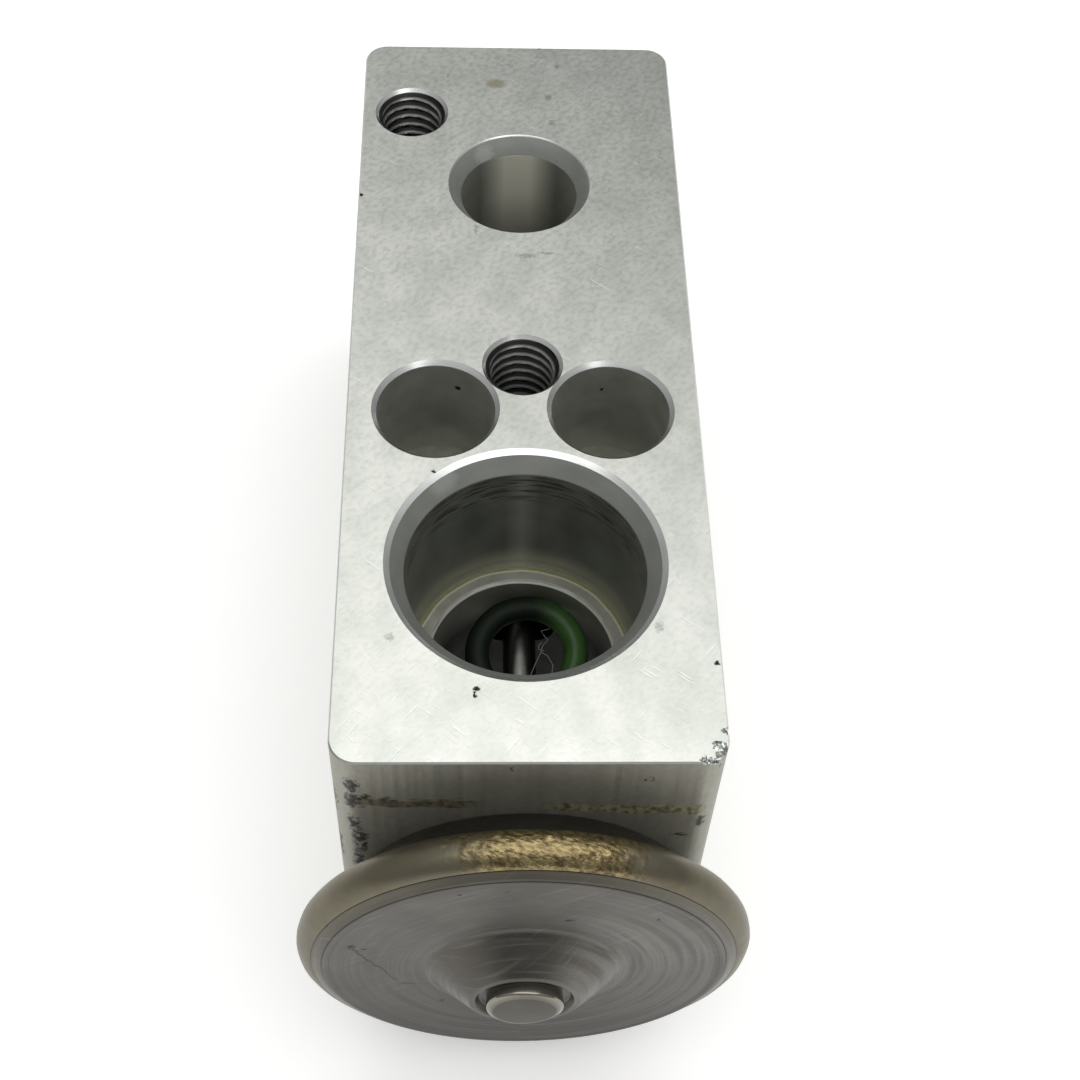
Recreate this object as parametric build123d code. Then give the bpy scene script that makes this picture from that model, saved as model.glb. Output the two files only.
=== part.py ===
"""A block-type thermostatic expansion valve for a vehicle air conditioner, in millimetres.

The aluminium block lies on its evaporator face. X runs across it, +Y runs from the head end to the
adjuster end, and +Z comes out of the hose face. The origin is the middle of the evaporator face.

Everything on the valve's long axis is turned about one line. A station is a distance along that line,
counted from the block's head end into the block, so a negative station lies outside it, in the head.
"""

from build123d import *
from math import cos, radians, sin, sqrt, tan
import os

# -------------------- driving sizes: the block
BLOCK_WIDTH = 28.0
BLOCK_LENGTH = 76.0
BLOCK_DEPTH = 40.0
CORNER_RADIUS = 2.0

# -------------------- driving sizes: the gas return (suction) line
SUCTION_STATION = 17.2
SUCTION_PORT_RADIUS = 9.15
SUCTION_PORT_DEPTH = 13.8
SUCTION_CHAMFER = 1.05
SUCTION_CHAMFER_DEPTH = 1.2
SUCTION_LIP = 0.45
SUCTION_LIP_DEPTH = 0.3
RETURN_RADIUS = 7.45
RETURN_EDGE = 0.35

# -------------------- driving sizes: the liquid ports
SMALL_PORT_RADIUS = 5.1
SMALL_PORT_CHAMFER = 1.05
SMALL_PORT_CHAMFER_DEPTH = 1.4
INLET_DEPTH = 8.6
INLET_HOLE_RADIUS = 3.6
INLET_BEYOND_SEAT = 8.1
OUTLET_DEPTH = 11.0
OUTLET_HOLE_RADIUS = 2.9
OUTLET_BEFORE_SEAT = 5.0

# -------------------- driving sizes: fasteners' holes
BOLT_STATION = 31.9
BOLT_SPACING = 13.9
BOLT_HOLE_RADIUS = 2.75
POCKET_RADIUS = 4.7
POCKET_DEPTH = 10.6
POCKET_CHAMFER = 0.4
THREAD_RADIUS = 3.0
THREAD_CHAMFER = 0.28
DRILL_POINT_ANGLE = 118.0
FIXING_THREAD_STATION = 36.5
FIXING_THREAD_DEPTH = 14.0
CORNER_THREAD_FROM_SIDE = 4.4
CORNER_THREAD_FROM_END = 9.2
CORNER_THREAD_DEPTH = 12.0

# -------------------- driving sizes: the head
NECK_RADIUS = 10.0
NECK_LENGTH = 5.4
NECK_BORE_RADIUS = 6.5
NECK_WALL_GAP = 0.6
GLAND_WIDTH = 1.5
GLAND_DEPTH = 1.6
SEAT_FLANGE_RADIUS = 12.6
SHELL_RADIUS = 16.2
RIM_BACK_HEIGHT = 3.1
RIM_BACK_WIDTH = 0.9
RIM_JOINT_HEIGHT = 4.5
RIM_CLAMP_WIDTH = 1.8
BASE_FLOOR_HEIGHT = 2.0
BASE_FLOOR_RADIUS = 11.6
DIAPHRAGM_THICKNESS = 0.2
CAP_SHEET = 1.4
CAP_FACE_HEIGHT = 6.7
CAP_EDGE_BREAK = 0.55
CAP_EDGE_WIDTH = 0.75
CAP_CORNER_ROUND = 0.1
BOSS_FOOT_RADIUS = 7.2
BOSS_FOOT_ROUND = 0.9
BOSS_CREST_RADIUS = 4.15
BOSS_CREST_ROUND = 0.3
BOSS_HEIGHT = 2.53
DIMPLE_RADIUS = 3.5
DIMPLE_ROUND = 0.15
DIMPLE_DEPTH = 0.55
DIMPLE_SLOPE = 0.2
RIM_WELD_BULGE = 1.05
PLUG_RADIUS = 2.88
PLUG_HEAD = 1.35
PLUG_EDGE = 0.3
PLUG_DOME = 0.15
PLUG_STEM_RADIUS = 1.5
PLUG_STEM_LENGTH = 2.2

# -------------------- driving sizes: the moving train
STROKE = 0.6
PLATE_RADIUS = 10.6
PLATE_THICKNESS = 1.3
PLATE_HUB_RADIUS = 3.0
PLATE_HUB_LENGTH = 4.6
PLATE_VENT_RADIUS = 0.9
PLATE_VENT_COUNT = 6
ROD_RADIUS = 1.4
ROD_GRIP = 3.2
ROD_TIP_RADIUS = 1.05
SEAT_STATION = 49.6
ORIFICE_RADIUS = 2.0
ORIFICE_LENGTH = 2.0
BALL_RADIUS = 2.6
CARRIER_CUP_RADIUS = 3.3
CARRIER_CUP_DEPTH = 1.4
CARRIER_WEB = 1.3
CARRIER_FLANGE = 1.2
CARRIER_STEM_LENGTH = 3.8
CLIP_SHEET = 0.3
CLIP_SKIRT = 2.6
CLIP_FINGERS = 6
CLIP_SLOT = 3.0
SPRING_RADIUS = 3.55
SPRING_WIRE = 1.2
SPRING_TURNS = 5.5

# -------------------- driving sizes: the rod's guide and seal
BUSH_RADIUS = 3.0
BUSH_LENGTH = 3.6
BUSH_RECESS = 2.2
BUSH_CHAMFER = 0.4
ROD_SEAL_TUBE = 1.5

# -------------------- driving sizes: the pipe's O-ring that stayed behind in the suction port
SPIGOT_SEAL_BORE_RADIUS = 3.1
SPIGOT_SEAL_TUBE = 2.0
SPIGOT_SEAL_LEAN = 10
SPIGOT_SEAL_TURN = 12

# -------------------- driving sizes: the adjuster
CHAMBER_RADIUS = 6.5
ADJUSTER_THREAD_RADIUS = 7.5
ADJUSTER_RECESS = 1.5
ADJUSTER_THREAD_LENGTH = 6.2
ADJUSTER_NOSE = 5.3
ADJUSTER_TRAVEL = 1.0
ADJUSTER_GROOVE_INSET = 1.2
ADJUSTER_GROOVE_WIDTH = 1.8
ADJUSTER_SEAL_TUBE = 1.3
SPRING_POCKET_DEPTH = 6.0
HEX_ACROSS_FLATS = 5.0
HEX_DEPTH = 4.0
ADJUSTER_EDGE = 0.5

# -------------------- clearances
RUNNING = 0.05
SLIDING = 0.1
SEAL_PLAY = 0.02
STOP_GAP = 0.05

# -------------------- places that follow from the sizes
axis_height = BLOCK_DEPTH / 2
inlet_station = SEAT_STATION + INLET_BEYOND_SEAT
outlet_station = SEAT_STATION - OUTLET_BEFORE_SEAT
long_axis = Plane(origin=(0, -BLOCK_LENGTH / 2, axis_height), x_dir=(1, 0, 0), z_dir=(0, 1, 0))


def on_hose_face(x, station):
    """A plane on the hose face whose Z points down into the block."""
    return Plane(origin=(x, station - BLOCK_LENGTH / 2, BLOCK_DEPTH), x_dir=(1, 0, 0), z_dir=(0, 0, -1))


def on_evaporator_face(x, station):
    """A plane on the evaporator face whose Z points up into the block."""
    return Plane(origin=(x, station - BLOCK_LENGTH / 2, 0), x_dir=(1, 0, 0), z_dir=(0, 0, 1))


def turned(*corners):
    """A solid turned about Z from its (radius, height) corners."""
    return revolve(Plane.XZ * make_face(Polyline(*corners, close=True)), Axis.Z)


def turned_face(*edges):
    """A solid turned about Z from the edges of its closed section, drawn in X (radius) and Y (height)."""
    return revolve(Plane.XZ * make_face(Curve() + list(edges)), Axis.Z)


def drilled(radius, start, end):
    """A plain cylinder about Z from one height to the other."""
    return Pos(0, 0, start) * Cylinder(radius, end - start, align=(Align.CENTER, Align.CENTER, Align.MIN))


def ring(centre_radius, tube, height):
    """An O-ring about Z."""
    return Pos(0, 0, height) * Torus(centre_radius, tube / 2)


# -------------------- the block and what is machined into it
# Cutters overrun the face that they start from.
OVERRUN = 1.0


def port(radius, depth, chamfer, chamfer_depth):
    """A pipe port bored to a flat floor, with a conical mouth."""
    flare = OVERRUN * chamfer / chamfer_depth
    return turned(
        (0, -OVERRUN),
        (radius + chamfer + flare, -OVERRUN),
        (radius, chamfer_depth),
        (radius, depth),
        (0, depth),
    )


def suction_port():
    """The large pipe port: a bore, a steep chamfer, and a flatter broken edge round its mouth."""
    mouth = SUCTION_PORT_RADIUS + SUCTION_CHAMFER
    flare = OVERRUN * SUCTION_LIP / SUCTION_LIP_DEPTH
    return turned(
        (0, -OVERRUN),
        (mouth + SUCTION_LIP + flare, -OVERRUN),
        (mouth, SUCTION_LIP_DEPTH),
        (SUCTION_PORT_RADIUS, SUCTION_LIP_DEPTH + SUCTION_CHAMFER_DEPTH),
        (SUCTION_PORT_RADIUS, SUCTION_PORT_DEPTH),
        (RETURN_RADIUS + RETURN_EDGE, SUCTION_PORT_DEPTH),
        (RETURN_RADIUS, SUCTION_PORT_DEPTH + RETURN_EDGE),
        (RETURN_RADIUS, BLOCK_DEPTH / 2),
        (0, BLOCK_DEPTH / 2),
    )


def tapped_hole(depth):
    """A blind tapped hole at its thread's outer radius, countersunk, with the drill's pointed end."""
    point = THREAD_RADIUS / tan(radians(DRILL_POINT_ANGLE / 2))
    return turned(
        (0, -OVERRUN),
        (THREAD_RADIUS + THREAD_CHAMFER + OVERRUN, -OVERRUN),
        (THREAD_RADIUS, THREAD_CHAMFER),
        (THREAD_RADIUS, depth),
        (0, depth + point),
    )


def bolt_hole():
    """A through bolt hole under a flat-bottomed pocket for a socket-head screw."""
    pocket = port(POCKET_RADIUS, POCKET_DEPTH, POCKET_CHAMFER, POCKET_CHAMFER)
    return pocket + drilled(BOLT_HOLE_RADIUS, POCKET_DEPTH - OVERRUN, BLOCK_DEPTH + OVERRUN)


# Stations down the long axis. The bush is pressed below the return line's far wall.
neck_hole_depth = NECK_LENGTH + NECK_WALL_GAP
bush_start = SUCTION_STATION + RETURN_RADIUS + BUSH_RECESS
bush_end = bush_start + BUSH_LENGTH
rod_seal_end = bush_end + ROD_SEAL_TUBE + SLIDING
outlet_chamber_radius = OUTLET_HOLE_RADIUS
outlet_chamber_start = outlet_station - OUTLET_HOLE_RADIUS
outlet_chamber_end = SEAT_STATION - ORIFICE_LENGTH
adjuster_outer_face = BLOCK_LENGTH - ADJUSTER_RECESS
adjuster_shoulder = adjuster_outer_face - ADJUSTER_THREAD_LENGTH
adjuster_nose_end = adjuster_shoulder - ADJUSTER_NOSE
thread_start = adjuster_shoulder - ADJUSTER_TRAVEL - SLIDING


def axis_hole():
    """All the bores on the long axis, from the head's thread to the adjuster's thread."""
    gland_radius = NECK_RADIUS + GLAND_WIDTH
    guide_radius = ROD_RADIUS + RUNNING
    return (
        drilled(gland_radius, -OVERRUN, GLAND_DEPTH)
        + drilled(NECK_RADIUS, 0, neck_hole_depth)
        + drilled(NECK_BORE_RADIUS, 0, SUCTION_STATION)
        + drilled(BUSH_RADIUS, SUCTION_STATION, rod_seal_end)
        + drilled(guide_radius, SUCTION_STATION, outlet_chamber_start + OVERRUN)
        + drilled(outlet_chamber_radius, outlet_chamber_start, outlet_chamber_end)
        + drilled(ORIFICE_RADIUS, outlet_chamber_start, SEAT_STATION + OVERRUN)
        + drilled(CHAMBER_RADIUS, SEAT_STATION, BLOCK_LENGTH)
        + drilled(ADJUSTER_THREAD_RADIUS, thread_start, BLOCK_LENGTH + OVERRUN)
    )


def valve_body():
    """The block: a rounded bar, cut to length and drilled from both faces and both ends."""
    bar = extrude(RectangleRounded(BLOCK_WIDTH, BLOCK_LENGTH, CORNER_RADIUS), BLOCK_DEPTH)
    inlet = port(SMALL_PORT_RADIUS, INLET_DEPTH, SMALL_PORT_CHAMFER, SMALL_PORT_CHAMFER_DEPTH)
    outlet = port(SMALL_PORT_RADIUS, OUTLET_DEPTH, SMALL_PORT_CHAMFER, SMALL_PORT_CHAMFER_DEPTH)
    corner_x = CORNER_THREAD_FROM_SIDE - BLOCK_WIDTH / 2
    corner_station = BLOCK_LENGTH - CORNER_THREAD_FROM_END
    cuts = [
        on_hose_face(0, SUCTION_STATION) * suction_port(),
        on_evaporator_face(0, SUCTION_STATION) * suction_port(),
        on_hose_face(0, inlet_station) * inlet,
        on_hose_face(0, inlet_station) * drilled(INLET_HOLE_RADIUS, 0, axis_height),
        on_evaporator_face(0, outlet_station) * outlet,
        on_evaporator_face(0, outlet_station) * drilled(OUTLET_HOLE_RADIUS, 0, axis_height),
        on_hose_face(-BOLT_SPACING / 2, BOLT_STATION) * bolt_hole(),
        on_hose_face(BOLT_SPACING / 2, BOLT_STATION) * bolt_hole(),
        on_hose_face(0, FIXING_THREAD_STATION) * tapped_hole(FIXING_THREAD_DEPTH),
        on_hose_face(corner_x, corner_station) * tapped_hole(CORNER_THREAD_DEPTH),
        long_axis * axis_hole(),
    ]
    return bar - cuts


# -------------------- the head: two pressed shells welded round a diaphragm
# Heights in the head are measured outwards from the block's end face, so they are negative stations.
head_axis = Plane(origin=long_axis.origin, x_dir=(1, 0, 0), z_dir=(0, -1, 0))
diaphragm_top = RIM_JOINT_HEIGHT + DIAPHRAGM_THICKNESS
cap_rim_height = CAP_FACE_HEIGHT - CAP_EDGE_BREAK
plate_bottom = BASE_FLOOR_HEIGHT + STOP_GAP
plate_top = plate_bottom + PLATE_THICKNESS
boss_top = CAP_FACE_HEIGHT + BOSS_HEIGHT
dimple_floor = boss_top - DIMPLE_DEPTH


def head_base():
    """The lower shell: a threaded neck, a flange that seats on the block, and a dish out to the rim."""
    clamp_radius = SHELL_RADIUS - RIM_CLAMP_WIDTH
    return turned(
        (NECK_BORE_RADIUS, -NECK_LENGTH),
        (NECK_RADIUS - RUNNING, -NECK_LENGTH),
        (NECK_RADIUS - RUNNING, 0),
        (SEAT_FLANGE_RADIUS, 0),
        (SHELL_RADIUS - RIM_BACK_WIDTH, RIM_BACK_HEIGHT),
        (SHELL_RADIUS, RIM_BACK_HEIGHT),
        (SHELL_RADIUS, RIM_JOINT_HEIGHT),
        (clamp_radius, RIM_JOINT_HEIGHT),
        (BASE_FLOOR_RADIUS, BASE_FLOOR_HEIGHT),
        (NECK_BORE_RADIUS, BASE_FLOOR_HEIGHT),
    )


def head_cap():
    """The upper shell: a flat pressed cover with a raised boss, dimpled on top around the filling hole."""
    clamp_radius = SHELL_RADIUS - RIM_CLAMP_WIDTH
    inner_face = CAP_FACE_HEIGHT - CAP_SHEET
    inner_roof = dimple_floor - CAP_SHEET
    outside = FilletPolyline(
        (SHELL_RADIUS, diaphragm_top),
        (SHELL_RADIUS, cap_rim_height),
        (SHELL_RADIUS - CAP_EDGE_WIDTH, CAP_FACE_HEIGHT),
        (BOSS_FOOT_RADIUS, CAP_FACE_HEIGHT),
        (BOSS_CREST_RADIUS, boss_top),
        (DIMPLE_RADIUS + DIMPLE_SLOPE, boss_top),
        (DIMPLE_RADIUS, dimple_floor),
        (PLUG_STEM_RADIUS, dimple_floor),
        radius=[
            CAP_CORNER_ROUND,
            CAP_EDGE_BREAK,
            BOSS_FOOT_ROUND,
            BOSS_CREST_ROUND,
            DIMPLE_ROUND,
            DIMPLE_ROUND,
        ],
    )
    inside = Polyline(
        (PLUG_STEM_RADIUS, dimple_floor),
        (PLUG_STEM_RADIUS, inner_roof),
        (BOSS_CREST_RADIUS - CAP_SHEET / 2, inner_roof),
        (BOSS_FOOT_RADIUS - CAP_SHEET / 2, inner_face),
        (clamp_radius - CAP_SHEET / 2, inner_face),
        (clamp_radius, diaphragm_top),
        (SHELL_RADIUS, diaphragm_top),
    )
    return turned_face(outside, inside)


def rim_weld():
    """The weld run that seals both shells and the diaphragm: a round bead about the rim."""
    middle = (RIM_BACK_HEIGHT + cap_rim_height) / 2
    bead = ThreePointArc(
        (SHELL_RADIUS, RIM_BACK_HEIGHT),
        (SHELL_RADIUS + RIM_WELD_BULGE, middle),
        (SHELL_RADIUS, cap_rim_height),
    )
    root = Line((SHELL_RADIUS, cap_rim_height), (SHELL_RADIUS, RIM_BACK_HEIGHT))
    return turned_face(bead, root)


def diaphragm():
    """The sheet between the shells: flat in the rim, one convolution, and a flat middle on the plate."""
    low = plate_top + SEAL_PLAY
    drop = RIM_JOINT_HEIGHT - low
    clamp_radius = SHELL_RADIUS - RIM_CLAMP_WIDTH
    under = [
        (0, low),
        (PLATE_RADIUS, low),
        (clamp_radius - DIAPHRAGM_THICKNESS, low + drop),
        (SHELL_RADIUS, RIM_JOINT_HEIGHT),
    ]
    over = [(radius, height + DIAPHRAGM_THICKNESS) for radius, height in reversed(under)]
    return turned(*under, *over)


def charge_plug():
    """The pin that closes the filling hole: a low domed head, welded into the boss's dimple."""
    top = dimple_floor + PLUG_HEAD
    end = dimple_floor - PLUG_STEM_LENGTH
    shoulder = (PLUG_RADIUS, top - PLUG_DOME)
    head = FilletPolyline((PLUG_RADIUS, dimple_floor), shoulder, (0, top), radius=PLUG_EDGE)
    stem = Polyline(
        (0, top),
        (0, end),
        (PLUG_STEM_RADIUS, end),
        (PLUG_STEM_RADIUS, dimple_floor),
        (PLUG_RADIUS, dimple_floor),
    )
    return turned_face(head, stem)


def head_seal():
    """The O-ring in the gland between the head's neck and the block."""
    tube = min(GLAND_WIDTH, GLAND_DEPTH) - 2 * SEAL_PLAY
    return ring(NECK_RADIUS + GLAND_WIDTH / 2, tube, -(tube / 2 + SEAL_PLAY))


# -------------------- the moving train: plate, rod, ball and carrier
# It is drawn fully open, as a charged head holds it with no pressure in the block.
closed_ball_station = SEAT_STATION + sqrt(BALL_RADIUS**2 - ORIFICE_RADIUS**2)
ball_station = closed_ball_station + STROKE
ball_near_side = ball_station - BALL_RADIUS
carrier_face = ball_station + BALL_RADIUS - CARRIER_CUP_DEPTH
carrier_flange_start = ball_station + BALL_RADIUS + CARRIER_WEB - CARRIER_FLANGE
carrier_flange_end = carrier_flange_start + CARRIER_FLANGE


def pressure_plate():
    """The stop plate under the diaphragm, with vent holes and a hub that grips the rod."""
    hub_end = plate_bottom - PLATE_HUB_LENGTH
    plate = drilled(PLATE_RADIUS, plate_bottom, plate_top) + drilled(PLATE_HUB_RADIUS, hub_end, plate_top)
    vent_circle = (PLATE_RADIUS + PLATE_HUB_RADIUS) / 2
    vents = PolarLocations(vent_circle, PLATE_VENT_COUNT) * drilled(PLATE_VENT_RADIUS, 0, plate_top + OVERRUN)
    return plate - vents - drilled(ROD_RADIUS, hub_end - OVERRUN, hub_end + ROD_GRIP)


def push_rod():
    """The pin that crosses the return line, feels the gas there and pushes the ball off its seat."""
    top = -(plate_bottom - PLATE_HUB_LENGTH + ROD_GRIP)
    shoulder = outlet_chamber_start + STROKE + OVERRUN
    return drilled(ROD_RADIUS, top, shoulder) + drilled(ROD_TIP_RADIUS, shoulder, ball_near_side)


def valve_ball():
    return Pos(0, 0, ball_station) * Sphere(BALL_RADIUS)


def ball_carrier():
    """The cup that holds the ball on its spring: a round seat, a flange and a stem inside the spring."""
    seat_radius = BALL_RADIUS + SEAL_PLAY
    stem_radius = SPRING_RADIUS - SPRING_WIRE / 2 - SLIDING
    blank = turned(
        (0, carrier_face),
        (CARRIER_CUP_RADIUS, carrier_face),
        (CARRIER_CUP_RADIUS, carrier_flange_start),
        (SPRING_RADIUS + SPRING_WIRE / 2, carrier_flange_start),
        (SPRING_RADIUS + SPRING_WIRE / 2, carrier_flange_end),
        (stem_radius, carrier_flange_end),
        (stem_radius, carrier_flange_end + CARRIER_STEM_LENGTH - ADJUSTER_EDGE),
        (stem_radius - ADJUSTER_EDGE, carrier_flange_end + CARRIER_STEM_LENGTH),
        (0, carrier_flange_end + CARRIER_STEM_LENGTH),
    )
    return blank - Pos(0, 0, ball_station) * Sphere(seat_radius)


def damping_clip():
    """A pressed cup behind the ball: its slotted fingers drag on the chamber wall, so the ball can't ring."""
    bore = CARRIER_CUP_RADIUS + SEAL_PLAY
    skirt = CHAMBER_RADIUS - SLIDING
    back = carrier_flange_start
    front = back - CLIP_SKIRT
    cup = turned(
        (bore, back),
        (bore, back - CLIP_SHEET),
        (skirt - 2 * CLIP_SHEET, back - CLIP_SHEET),
        (skirt - CLIP_SHEET, back - 2 * CLIP_SHEET),
        (skirt - CLIP_SHEET, front),
        (skirt, front),
        (skirt, back - CLIP_SHEET),
        (skirt - CLIP_SHEET, back),
    )
    slot_length = CHAMBER_RADIUS - CARRIER_CUP_RADIUS - 2 * CLIP_SHEET
    slot = Box(slot_length, CLIP_SLOT, 2 * CLIP_SKIRT)
    fingers = PolarLocations(CHAMBER_RADIUS - slot_length / 2, CLIP_FINGERS)
    return cup - Pos(0, 0, back - CLIP_SKIRT / 2) * fingers * slot


# -------------------- what holds and seals the rod
def rod_bush():
    """The plastic guide pressed into the wall between the return line and the evaporator line."""
    outside = BUSH_RADIUS - SEAL_PLAY
    bore = ROD_RADIUS + RUNNING
    return turned(
        (bore + BUSH_CHAMFER, bush_start),
        (outside - BUSH_CHAMFER, bush_start),
        (outside, bush_start + BUSH_CHAMFER),
        (outside, bush_end),
        (bore, bush_end),
        (bore, bush_start + BUSH_CHAMFER),
    )


def rod_seal():
    """The small O-ring trapped behind the bush, round the rod."""
    centre = ROD_RADIUS + SEAL_PLAY + ROD_SEAL_TUBE / 2
    return ring(centre, ROD_SEAL_TUBE - SEAL_PLAY, (bush_end + rod_seal_end) / 2)


# -------------------- the loose O-ring
def spigot_seal():
    """A pipe spigot's O-ring: it lies on the push rod and leans on the return line's far wall."""
    lean = radians(SPIGOT_SEAL_LEAN)
    centre_radius = SPIGOT_SEAL_BORE_RADIUS + SPIGOT_SEAL_TUBE / 2
    clear = SPIGOT_SEAL_TUBE / 2 + SEAL_PLAY
    off_centre = RETURN_RADIUS - clear - centre_radius * cos(lean)
    above_axis = ROD_RADIUS + clear + centre_radius * sin(lean)
    crossing = Pos(0, SUCTION_STATION - BLOCK_LENGTH / 2, axis_height)
    seal = Rot(SPIGOT_SEAL_LEAN, 0, 0) * Torus(centre_radius, SPIGOT_SEAL_TUBE / 2)
    return crossing * Rot(0, 0, -SPIGOT_SEAL_TURN) * Pos(0, off_centre, above_axis) * seal


# -------------------- the spring and its adjuster
pocket_floor = adjuster_nose_end + SPRING_POCKET_DEPTH
groove_start = adjuster_nose_end + ADJUSTER_GROOVE_INSET
groove_end = groove_start + ADJUSTER_GROOVE_WIDTH
groove_radius = CHAMBER_RADIUS - ADJUSTER_SEAL_TUBE - 2 * SEAL_PLAY


def superheat_spring():
    """The closing spring between the carrier and the adjuster, with both ends ground flat."""
    length = pocket_floor - carrier_flange_end
    pitch = length / SPRING_TURNS
    coil = Helix(pitch, length, SPRING_RADIUS)
    wire = Plane(origin=coil @ 0, z_dir=coil % 0) * Circle(SPRING_WIRE / 2)
    wound = sweep(wire, coil, is_frenet=True)
    return Pos(0, 0, carrier_flange_end) * (wound & drilled(2 * SPRING_RADIUS, 0, length))


def adjusting_screw():
    """The threaded plug that loads the spring: a sealed nose, a spring pocket and a hexagon socket."""
    thread = ADJUSTER_THREAD_RADIUS - RUNNING
    nose = CHAMBER_RADIUS - SLIDING
    pocket = SPRING_RADIUS + SPRING_WIRE / 2 + SLIDING
    blank = turned(
        (0, pocket_floor),
        (pocket, pocket_floor),
        (pocket, adjuster_nose_end),
        (nose - ADJUSTER_EDGE / 2, adjuster_nose_end),
        (nose, adjuster_nose_end + ADJUSTER_EDGE / 2),
        (nose, groove_start),
        (groove_radius, groove_start),
        (groove_radius, groove_end),
        (nose, groove_end),
        (nose, adjuster_shoulder),
        (thread, adjuster_shoulder),
        (thread, adjuster_outer_face - ADJUSTER_EDGE),
        (thread - ADJUSTER_EDGE, adjuster_outer_face),
        (0, adjuster_outer_face),
    )
    socket = extrude(RegularPolygon(HEX_ACROSS_FLATS / 2, 6, major_radius=False), HEX_DEPTH + OVERRUN)
    return blank - Pos(0, 0, adjuster_outer_face - HEX_DEPTH) * socket


def adjuster_seal():
    """The O-ring in the adjusting screw's groove."""
    centre = groove_radius + SEAL_PLAY + ADJUSTER_SEAL_TUBE / 2
    return ring(centre, ADJUSTER_SEAL_TUBE, (groove_start + groove_end) / 2)


# -------------------- the whole valve, one file for each piece
IN_HEAD = (head_base, head_cap, rim_weld, diaphragm, charge_plug, head_seal, pressure_plate)
ON_AXIS = (
    push_rod,
    valve_ball,
    ball_carrier,
    damping_clip,
    rod_bush,
    rod_seal,
    superheat_spring,
    adjusting_screw,
    adjuster_seal,
)

pieces = {"valve_body": valve_body(), "spigot_seal": spigot_seal()}
pieces |= {make.__name__: head_axis * make() for make in IN_HEAD}
pieces |= {make.__name__: long_axis * make() for make in ON_AXIS}

os.makedirs("parts", exist_ok=True)
for name, piece in pieces.items():
    export_step(piece, f"parts/{name}.step")
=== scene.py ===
from math import atan2, cos, hypot, pi, radians, sin, tan, tau

import bpy
import bmesh
from mathutils import Matrix, Vector, noise


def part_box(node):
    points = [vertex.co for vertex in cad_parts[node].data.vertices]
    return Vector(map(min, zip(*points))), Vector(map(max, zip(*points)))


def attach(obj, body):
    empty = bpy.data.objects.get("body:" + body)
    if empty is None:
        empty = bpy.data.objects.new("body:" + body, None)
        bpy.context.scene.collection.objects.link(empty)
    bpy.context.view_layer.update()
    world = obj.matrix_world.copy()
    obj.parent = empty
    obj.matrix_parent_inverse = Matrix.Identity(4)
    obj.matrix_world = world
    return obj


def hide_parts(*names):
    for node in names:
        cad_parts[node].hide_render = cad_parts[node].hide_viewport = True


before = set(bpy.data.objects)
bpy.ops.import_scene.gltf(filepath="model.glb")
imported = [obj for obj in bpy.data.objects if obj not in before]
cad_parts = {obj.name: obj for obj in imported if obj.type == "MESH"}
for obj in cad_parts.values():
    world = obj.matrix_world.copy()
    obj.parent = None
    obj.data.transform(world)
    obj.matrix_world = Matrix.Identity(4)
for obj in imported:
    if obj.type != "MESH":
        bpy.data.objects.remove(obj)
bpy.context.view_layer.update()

# ---------------------------------------------------------------- the studio: camera
# The valve lies on its back face. The camera stands over the head end and looks down the hose face at 54 degrees.
MM = 0.001
CAMERA_PLACE = Vector((-4.06, -97.54, 148.67)) * MM
CAMERA_RIGHT = Vector((0.999266, -0.019784, 0.032815))
CAMERA_UP = Vector((-0.003183, 0.810572, 0.585630))
SENSOR_WIDTH = 36.0
LENS = 59.52
NEAREST_SEEN = 10 * MM
FARTHEST_SEEN = 10.0

camera = bpy.data.objects.new("camera", bpy.data.cameras.new("camera"))
camera.data.sensor_fit = "HORIZONTAL"
camera.data.sensor_width = SENSOR_WIDTH
camera.data.lens = LENS
camera.data.clip_start = NEAREST_SEEN
camera.data.clip_end = FARTHEST_SEEN
towards_viewer = CAMERA_RIGHT.cross(CAMERA_UP).normalized()
upwards = towards_viewer.cross(CAMERA_RIGHT).normalized()
camera.matrix_world = Matrix.Translation(CAMERA_PLACE) @ Matrix(
    (CAMERA_RIGHT.normalized(), upwards, towards_viewer)
).transposed().to_4x4()
bpy.context.scene.collection.objects.link(camera)
bpy.context.scene.camera = camera
bpy.context.scene.view_settings.view_transform = "Standard"


# ---------------------------------------------------------------- the studio: table, tent and lamp
# A white paper sweep under a soft tent. The tent is brightest overhead and falls off towards the horizon, so that
# level machined faces come up pale and upright faces stay grey.
def linear(hex_colour):
    """An sRGB hex colour as the opaque linear colour that a shader takes."""
    channels = [int(hex_colour[i:i + 2], 16) / 255 for i in (1, 3, 5)]
    return tuple(c / 12.92 if c <= 0.04045 else ((c + 0.055) / 1.055) ** 2.4 for c in channels) + (1.0,)


def add(tree, kind, inputs=None, **settings):
    """Adds a shader node, sets it up, fills or links its inputs, and returns it. A hex colour is turned linear."""
    made = tree.nodes.new("ShaderNode" + kind)
    for name, value in settings.items():
        setattr(made, name, value)
    for socket, value in (inputs or {}).items():
        if isinstance(value, bpy.types.Node):
            value = next(output for output in value.outputs if output.enabled)
        if isinstance(value, bpy.types.NodeSocket):
            tree.links.new(value, made.inputs[socket])
        else:
            made.inputs[socket].default_value = linear(value) if isinstance(value, str) else value
    return made


def new_material(name):
    """A material with an empty node tree."""
    made = bpy.data.materials.new(name)
    made.use_nodes = True
    made.node_tree.nodes.clear()
    return made


def along(tree, place, axis, start, end, before=0.0, after=1.0):
    """A value that goes from one number to another between two places along X, Y or Z."""
    coordinate = add(tree, "SeparateXYZ", {0: place}).outputs[axis]
    return add(tree, "MapRange", {
        "Value": coordinate, "From Min": start, "From Max": end, "To Min": before, "To Max": after})


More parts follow.
